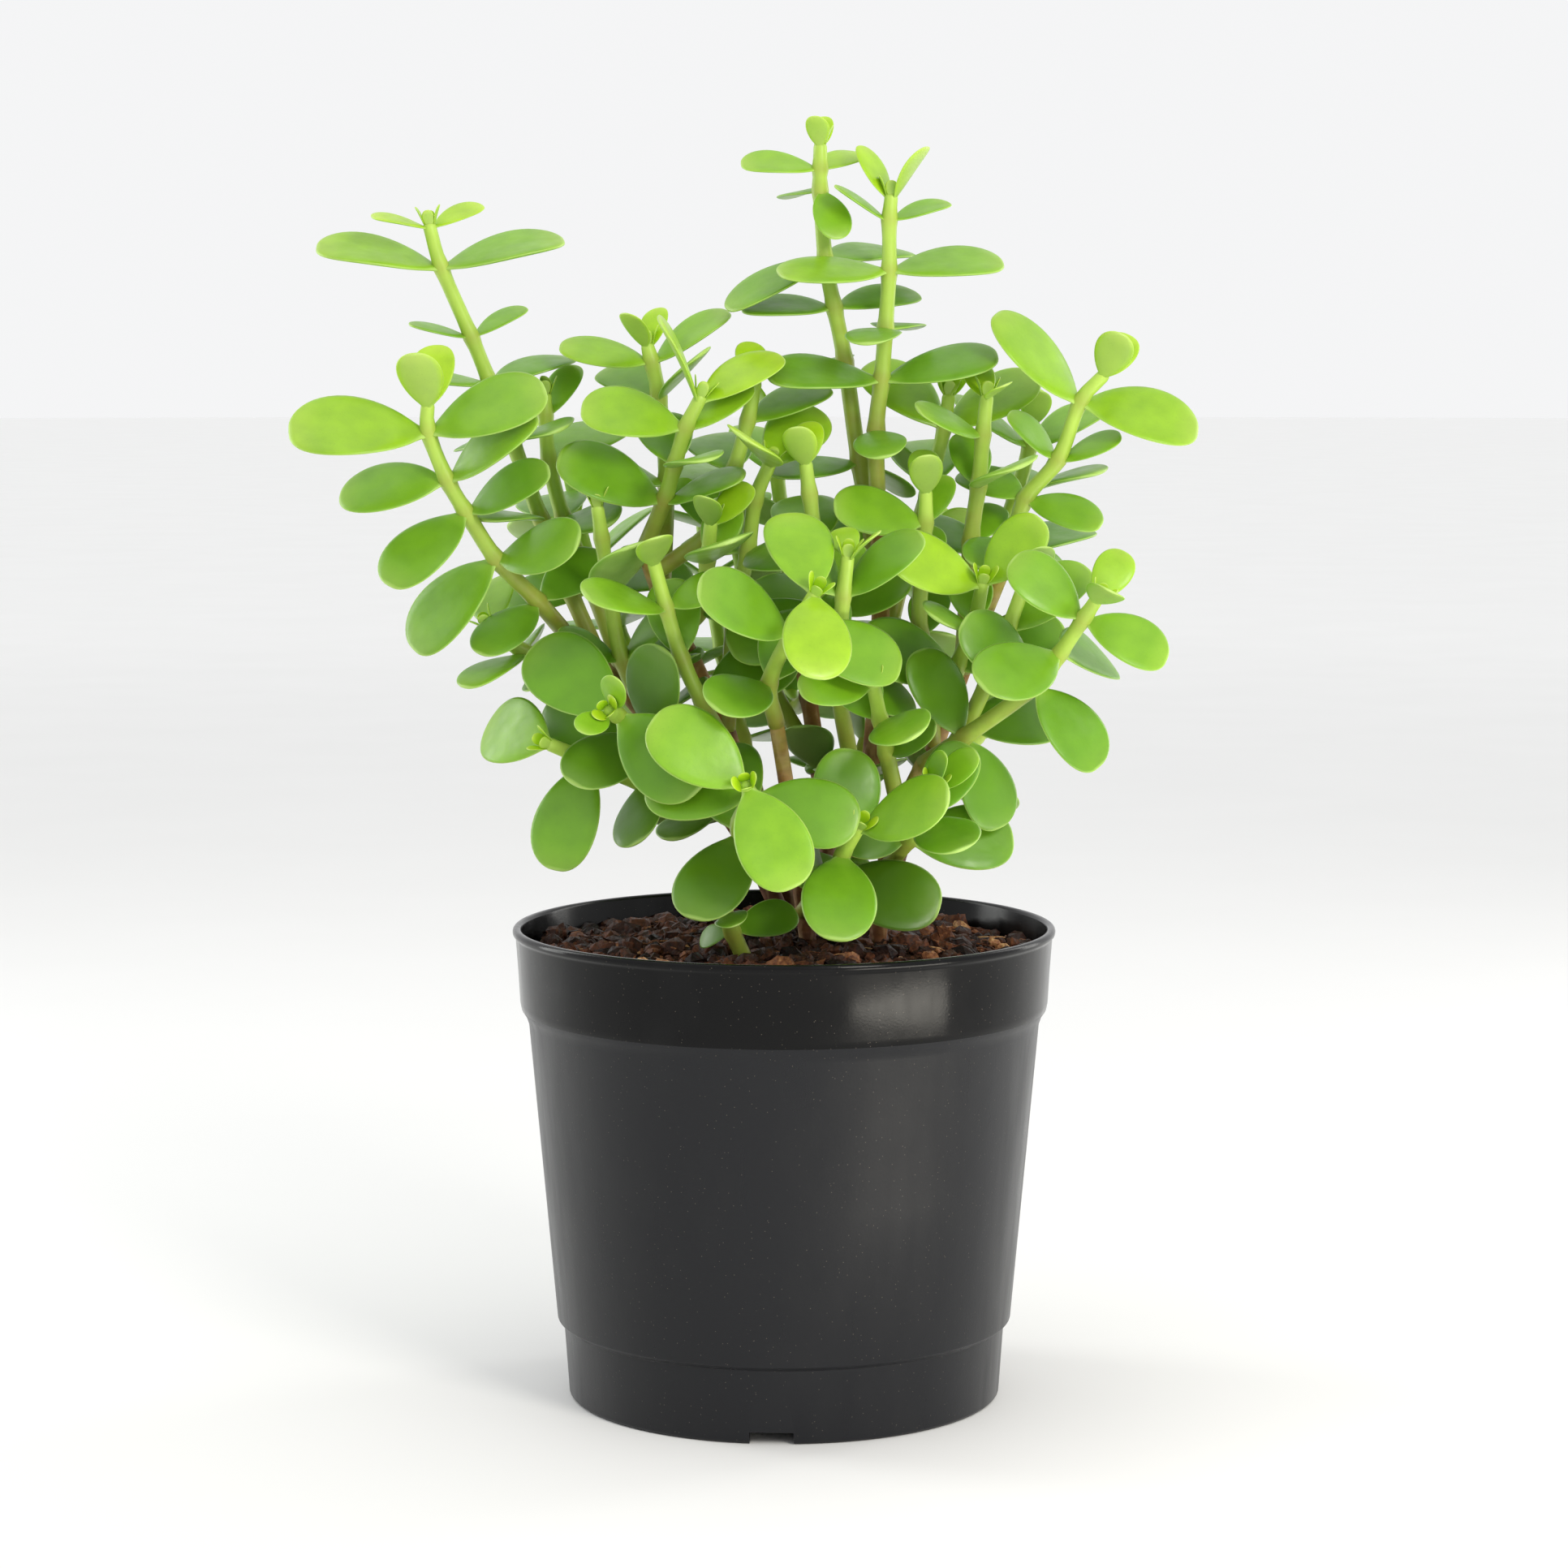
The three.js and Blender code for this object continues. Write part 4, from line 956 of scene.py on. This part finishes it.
def strewn_fibre(chance):
    """A root fibre that wanders over the soil, or nothing where it would run into the pot."""
    r, a = scatter(chance, FIBRE_REACH)
    heading = chance.uniform(0, 2 * math.pi)
    x, y = r * math.cos(a), r * math.sin(a)
    points = []
    for _ in range(FIBRE_POINTS):
        points.append(Vector((x, y, soil_height(x, y) + FIBRE_LIFT + chance.uniform(0, 0.0008))))
        x += FIBRE_STEP * math.cos(heading)
        y += FIBRE_STEP * math.sin(heading)
        heading += chance.uniform(-0.6, 0.6)
    if any(point.xy.length > FIBRE_LIMIT for point in points):
        return None
    last = FIBRE_POINTS - 1
    stations = [(p, (points[min(k + 1, last)] - points[max(k - 1, 0)]).normalized(), FIBRE_RADIUS)
                for k, p in enumerate(points)]
    fibre = drawn_tube("fibre", stations, 5)
    set_attribute(fibre.data, "tint", [chance.uniform(0.55, 1)] * len(fibre.data.vertices))
    return fibre


class JADE_OT_soil(Operator):
    """Fill the pot with soil, then strew loose bark chips and root fibres over it"""

    bl_idname = "jade.soil"
    bl_label = "Potting Soil"

    def execute(self, context):
        sizes = context.scene.jade_soil
        chance = random.Random(SEED)
        finish_piece(soil_fill(), "soil", [soil_finish()])
        shapes = chip_shapes()
        chips = join_pieces("soil_chips", [
            strewn_chip(shapes, sizes.chip_size, chance) for _ in range(sizes.chips)])
        finish_piece(chips, "soil", [chip_finish()])
        fibres = [strewn_fibre(chance) for _ in range(sizes.fibres)]
        fibres = join_pieces("soil_fibres", [fibre for fibre in fibres if fibre])
        finish_piece(fibres, "soil", [bpy.data.materials["bark_chip"]])
        for shape in shapes:
            bpy.data.objects.remove(shape)
        return {"FINISHED"}


# ---- Stems ----

# Spacing of a stem's rings and swelling at its joints, in millimetres, and its finish's age at foot and tip.
GREEN_STEM = {"spacing": 3.0, "swelling": 0.45, "foot_age": 0.8, "tip_age": 0.0}
WOODY_STEM = {"spacing": 2.4, "swelling": 0.4, "foot_age": 1.0, "tip_age": 0.1}
WOODY_SIDES = 14
SWELLING_REACH = 2.2

# The rounded tip of a stem: how far past the last ring, and how wide, as shares of its radius.
TIP_RINGS = ((0.5, 0.87), (0.85, 0.53), (0.98, 0.18))


def smooth_path(points, spacing):
    """A smooth path through the points: its samples and, for each, its place among the points."""
    samples = []
    for i in range(len(points) - 1):
        a = points[i - 1] if i else 2 * points[0] - points[1]
        b, c = points[i], points[i + 1]
        d = points[i + 2] if i + 2 < len(points) else 2 * points[-1] - points[-2]
        count = max(2, round(np.linalg.norm(c - b) / spacing))
        for k in range(count):
            t = k / count
            steer = (2 * a - 5 * b + 4 * c - d) * t**2
            point = 0.5 * (2 * b + (c - a) * t + steer + (3 * b - a - 3 * c + d) * t**3)
            samples.append((point, i + t))
    samples.append((points[-1], len(points) - 1.0))
    return samples


def stem_stations(plan, foot_radius, tip_radius, spacing, swelling):
    """Stations of a stem with a swelling at every joint, and the shares used by its finish."""
    points = joint_points(plan)
    samples = smooth_path(points, spacing)
    stations, ages, scars = [], [], []
    for number, (point, at) in enumerate(samples):
        ahead = samples[min(number + 1, len(samples) - 1)][0]
        behind = samples[max(number - 1, 0)][0]
        share = at / (len(points) - 1)
        nearest = min(range(1, len(points)), key=lambda i: abs(i - at))
        off = np.linalg.norm(points[nearest] - point)
        swell = math.exp(-((off / SWELLING_REACH) ** 2)) if nearest < len(points) - 1 else 0.0
        radius = foot_radius + (tip_radius - foot_radius) * share + swelling * swell
        stations.append((Vector(point * MM), Vector(unit(ahead - behind)), radius * MM))
        ages.append(1 - share)
        scars.append(swell)
    tip, heading, radius = stations[-1]
    for step, share in TIP_RINGS:
        stations.append((tip + heading * (step * radius), heading, share * radius))
        ages.append(0.0)
        scars.append(0.0)
    return stations, np.array(ages), np.array(scars)


def stem_piece(name, plan, foot_radius, tip_radius, sides, spacing, swelling, foot_age, tip_age):
    stations, ages, scars = stem_stations(plan, foot_radius, tip_radius, spacing, swelling)
    piece = drawn_tube(name, stations, sides)
    centres = np.array([station[0] for station in stations])
    offsets = mesh_points(piece.data)[:, None] - centres[None]
    nearest = np.argmin(np.linalg.norm(offsets, axis=2), axis=1)
    set_attribute(piece.data, "age", tip_age + (foot_age - tip_age) * ages[nearest])
    set_attribute(piece.data, "scar", scars[nearest])
    shade_smooth(piece)
    return piece


# ---- Leaves ----

LEAF_STATIONS = (-0.045, 0.02, 0.1, 0.22, 0.36, 0.5, 0.63, 0.75, 0.85, 0.925, 0.972, 0.995)
LEAF_SIDES = 8
FOOT_WIDTH = 0.17
TIP_WIDTH = 0.1
FOOT_THICKNESS = 0.3
TIP_THICKNESS = 0.02
TIP_MARGIN = 0.8

# Bend, cup, twist and sweep of each kind of blade, in radians.
BLADES = {
    "blade_plain": (0.21, 0.48, 0.0, 0.0),
    "blade_flat": (0.12, 0.22, 0.08, 0.05),
    "blade_cupped": (0.16, 0.74, -0.06, -0.04),
    "blade_reflexed": (0.34, 0.3, -0.12, 0.06),
    "blade_swept": (0.2, 0.42, 0.14, -0.1),
}

# The folded leaves at a shoot's tip: degrees round the stem, millimetres long, degrees of rise.
BUD_LEAVES = ((0, 6.5, 74), (90, 5.0, 82))

# The joined feet of an old pair: millimetres along the stem, and millimetres out from its bark.
COLLAR_PROFILE = ((-1.9, -0.2), (-1.5, 0.7), (-0.6, 1.5), (0.6, 1.5), (1.5, 0.7), (1.9, -0.2))
COLLAR_FINISH = (("youth", 0.2), ("tint", 0.5), ("margin", 0.1), ("along", 0.1), ("upper", 1.0))

# How young a pair's finish is, from the youngest pair down, and how a shoot's height adds to it.
YOUTH_BY_AGE = [0.9, 0.66, 0.5, 0.4, 0.32, 0.26, 0.22, 0.18]
OLD_PAIR_YOUTH = 0.16
FRESH_HEIGHT = 265
FRESH_SPAN = 260
FRESH_RANGE = (-0.32, 0.12)


def leaf_shape(name, bend, cup, twist, sweep):
    """A blade of unit length from the origin along +Z, its upper side towards -Y and its edges along X."""
    stations = []
    for s in LEAF_STATIONS:
        width, depth = (FOOT_WIDTH, FOOT_THICKNESS) if s < 0.5 else (TIP_WIDTH, TIP_THICKNESS)
        half = 0.5 * LEAF_BREADTH * max(outline(s), width)
        thick = 0.5 * LEAF_THICKNESS * math.sqrt(max(outline(s), depth))
        stations.append((s, half, thick))
    s, half, thick = stations[0]
    start_rings(LEAF_SIDES, 1, (0, 0, s))
    bpy.ops.transform.resize(value=(half, thick, 1), center_override=(0, 0, s))
    for next_s, next_half, next_thick in stations[1:]:
        bpy.ops.mesh.extrude_region_move(TRANSFORM_OT_translate={"value": (0, 0, next_s - s)})
        grow = (next_half / half, next_thick / thick, 1)
        bpy.ops.transform.resize(value=grow, center_override=(0, 0, next_s))
        s, half, thick = next_s, next_half, next_thick
    piece = end_rings(name)
    points = mesh_points(piece.data)
    halves = np.array([0.5 * LEAF_BREADTH * outline(z) for z in points[:, 2]])
    from_tip = np.maximum(1.0 - points[:, 2], 0) * TIP_MARGIN
    set_attribute(piece.data, "margin", np.minimum(np.maximum(halves - np.abs(points[:, 0]), 0), from_tip))
    set_attribute(piece.data, "along", np.clip(points[:, 2], 0, 1))
    set_attribute(piece.data, "upper", np.where(points[:, 1] < 1e-6, 1.0, 0.0))
    for axis, method, angle in (
            ("Z", "TWIST", twist), ("Z", "BEND", -cup), ("X", "BEND", bend), ("Y", "BEND", sweep)):
        apply_modifier(piece, "SIMPLE_DEFORM", deform_method=method, deform_axis=axis, angle=angle)
    shade_smooth(piece)
    return piece


def place_leaf(leaf, shapes, chance, youth):
    down = -leaf.normal
    size = leaf.length * MM
    rows = zip(leaf.across * size, down * size, leaf.along * size, leaf.base * MM)
    matrix = Matrix([*rows, (0, 0, 0, 1)])
    return copy_shape(chance.choice(shapes), matrix, {"youth": youth, "tint": chance.random()})


def bud_leaves(plan, shapes, chance):
    """The folded youngest leaves at a shoot's tip, too small for the frame to hold one by one."""
    place = joint_places(plan)[-1]
    copies = []
    for turn, length, rise in BUD_LEAVES:
        for side in (1, -1):
            leaf = Leaf(place, {"level": 0, "face": 0}, turn, rise, side, length)
            copies.append(place_leaf(leaf, shapes, chance, 1.0))
    return copies


def leaf_collar(place, stem_radius):
    """The ring of joined leaf feet round a woody stem."""
    heading = Vector(place["tangent"])
    stations = [(Vector(place["point"] * MM) + heading * (along * MM), heading, (stem_radius + out) * MM)
                for along, out in COLLAR_PROFILE]
    collar = drawn_tube("collar", stations, WOODY_SIDES)
    for name, value in COLLAR_FINISH:
        set_attribute(collar.data, name, [value] * len(collar.data.vertices))
    shade_smooth(collar)
    return collar


def blades_piece(name, copies, node, skin):
    """Joins blades under a live subdivision that rounds their outlines."""
    blades = join_pieces(name, copies)
    modifier = blades.modifiers.new("Round", "SUBSURF")
    modifier.levels = 1
    modifier.render_levels = 1
    finish_piece(blades, node, [skin])


class JADE_OT_shoots(Operator):
    """Grow the stems and shoots with their pairs of leaves, and a bud at each shoot's tip"""

    bl_idname = "jade.shoots"
    bl_label = "Green Shoots"

    def execute(self, context):
        sizes = context.scene.jade_plant
        leaves = grow_leaves([*SHOOTS, *STEMS])
        shapes = [leaf_shape(name, *bends) for name, bends in BLADES.items()]
        skin, green = leaf_finish(sizes), stem_finish()
        chance = random.Random(SEED + 1)
        for plan in SHOOTS:
            name = plan["name"]
            height = max(joint[2] for joint in plan["joints"])
            fresh = min(max((height - FRESH_HEIGHT) / FRESH_SPAN, FRESH_RANGE[0]), FRESH_RANGE[1])
            copies = [place_leaf(leaf, shapes, chance, YOUTH_BY_AGE[leaf.age] + fresh)
                      for leaf in leaves if leaf.plan == name]
            copies += bud_leaves(plan, shapes, chance)
            blades_piece(f"{name}_leaves", copies, name, skin)
            stem = stem_piece(
                f"{name}_stem", plan, GREEN_FOOT_RADIUS, GREEN_TIP_RADIUS, sizes.stem_sides, **GREEN_STEM)
            finish_piece(stem, name, [green])

        bark = bark_finish()
        for plan in STEMS:
            name, radius = plan["name"], plan["radius"]
            stem = stem_piece(
                f"{name}_bark", plan, radius, radius * WOOD_TIP_SHARE, WOODY_SIDES, **WOODY_STEM)
            finish_piece(stem, name, [bark])
            own = [leaf for leaf in leaves if leaf.plan == name]
            places = joint_places(plan)
            for number, joint in enumerate(sorted({leaf.joint for leaf in own}), start=1):
                pair = [leaf for leaf in own if leaf.joint == joint]
                copies = [place_leaf(leaf, shapes, chance, OLD_PAIR_YOUTH) for leaf in pair]
                copies.append(leaf_collar(places[joint], radius))
                blades_piece(
                    f"{name}_old_leaves_{number}", copies, f"{name}_leaf_pair_{number}", skin)
        for shape in shapes:
            bpy.data.objects.remove(shape)
        return {"FINISHED"}


# ---- Stage ----


FLOOR_SIDES = 96
ROOM_COLOUR = (0.99, 0.993, 1.0, 1)
ROOM_STRENGTH = 0.92

# Each light: its power's setting and its share of it, its place, what it aims at, its size and its colour.
LIGHTS = {
    "key": ("key_power", 1.0, (0.62, -0.95, 0.78), (0.02, 0, 0.18), (0.34, 0.42), (1.0, 0.96, 0.88)),
    "left_fill": ("fill_power", 1.6, (-0.9, 0.35, 0.4), (0, 0, 0.12), (0.3, 0.9), (0.98, 1.0, 0.97)),
    "right_rim": ("fill_power", 1.0, (0.85, 0.55, 0.4), (0, 0, 0.12), (0.25, 0.9), (1.0, 0.99, 0.95)),
    "top": ("fill_power", 0.5, (-0.2, 0.1, 1.3), (0, 0, 0.2), (0.9, 0.9), (1.0, 1.0, 0.98)),
    "low_window": (
        "window_power", 1.0, (0.26, -0.25, 0.042), (0.03, -0.07, 0.1), (0.26, 0.06), (1.0, 0.95, 0.84)),
}


def soft_light(name, power, place, aim, size, colour):
    clear_selection()
    turn = (Vector(aim) - Vector(place)).to_track_quat("-Z", "Y").to_euler()
    bpy.ops.object.light_add(type="AREA", location=place, rotation=turn)
    light = bpy.context.object
    light.name = name
    light.data.shape = "RECTANGLE"
    light.data.size, light.data.size_y = size
    light.data.energy = power
    light.data.color = colour
    light.visible_camera = False


class JADE_OT_stage(Operator):
    """Set the camera, the pale floor and the soft studio light"""

    bl_idname = "jade.stage"
    bl_label = "Stage"

    def execute(self, context):
        sizes = context.scene.jade_stage
        clear_selection()
        bpy.ops.object.camera_add(location=(0, -sizes.camera_distance, sizes.camera_height),
                                  rotation=(math.pi / 2 - sizes.camera_dip, 0, 0))
        camera = bpy.context.object
        camera.data.lens = sizes.lens
        camera.data.sensor_width = 36
        camera.data.clip_end = 60
        context.scene.camera = camera

        clear_selection()
        bpy.ops.mesh.primitive_circle_add(
            vertices=FLOOR_SIDES, radius=sizes.floor_radius, fill_type="NGON", location=(0, 0, 0))
        floor = bpy.context.object
        floor.name = "pale_floor"
        floor.data.materials.append(floor_finish())

        world = bpy.data.worlds.new("pale_room")
        world.use_nodes = True
        background = world.node_tree.nodes["Background"]
        background.inputs["Color"].default_value = ROOM_COLOUR
        background.inputs["Strength"].default_value = ROOM_STRENGTH
        context.scene.world = world
        context.scene.view_settings.view_transform = "Standard"
        for name, (setting, share, place, aim, size, colour) in LIGHTS.items():
            soft_light(name, share * getattr(sizes, setting), place, aim, size, colour)
        return {"FINISHED"}


# Each group of settings, and the step that reads it.
STEPS = (
    ("jade_stage", "jade.stage"), ("jade_pot", "jade.pot"), ("jade_soil", "jade.soil"),
    ("jade_plant", "jade.shoots"),
)


class JADE_PT_panel(Panel):
    """Sizes, colours and steps of the jade plant"""

    bl_idname = "JADE_PT_panel"
    bl_label = "Jade Plant"
    bl_space_type = "VIEW_3D"
    bl_region_type = "UI"
    bl_category = "Jade Plant"

    def draw(self, context):
        layout = self.layout
        for group, step in STEPS:
            column = layout.column(align=True)
            settings = getattr(context.scene, group)
            for name in settings.bl_rna.properties.keys():
                if name not in {"rna_type", "name"}:
                    column.prop(settings, name)
            column.operator(step)


GROUPS = {
    "jade_pot": JADE_PG_pot, "jade_soil": JADE_PG_soil, "jade_plant": JADE_PG_plant,
    "jade_stage": JADE_PG_stage,
}
CLASSES = (*GROUPS.values(), JADE_OT_stage, JADE_OT_pot, JADE_OT_soil, JADE_OT_shoots, JADE_PT_panel)


def register():
    for item in CLASSES:
        bpy.utils.register_class(item)
    for name, group in GROUPS.items():
        setattr(bpy.types.Scene, name, PointerProperty(type=group))


def unregister():
    for name in GROUPS:
        delattr(bpy.types.Scene, name)
    for item in reversed(CLASSES):
        bpy.utils.unregister_class(item)


def main():
    register()
    bpy.ops.jade.stage()
    bpy.ops.jade.pot()
    bpy.ops.jade.soil()
    bpy.ops.jade.shoots()


if __name__ == "__main__":
    main()
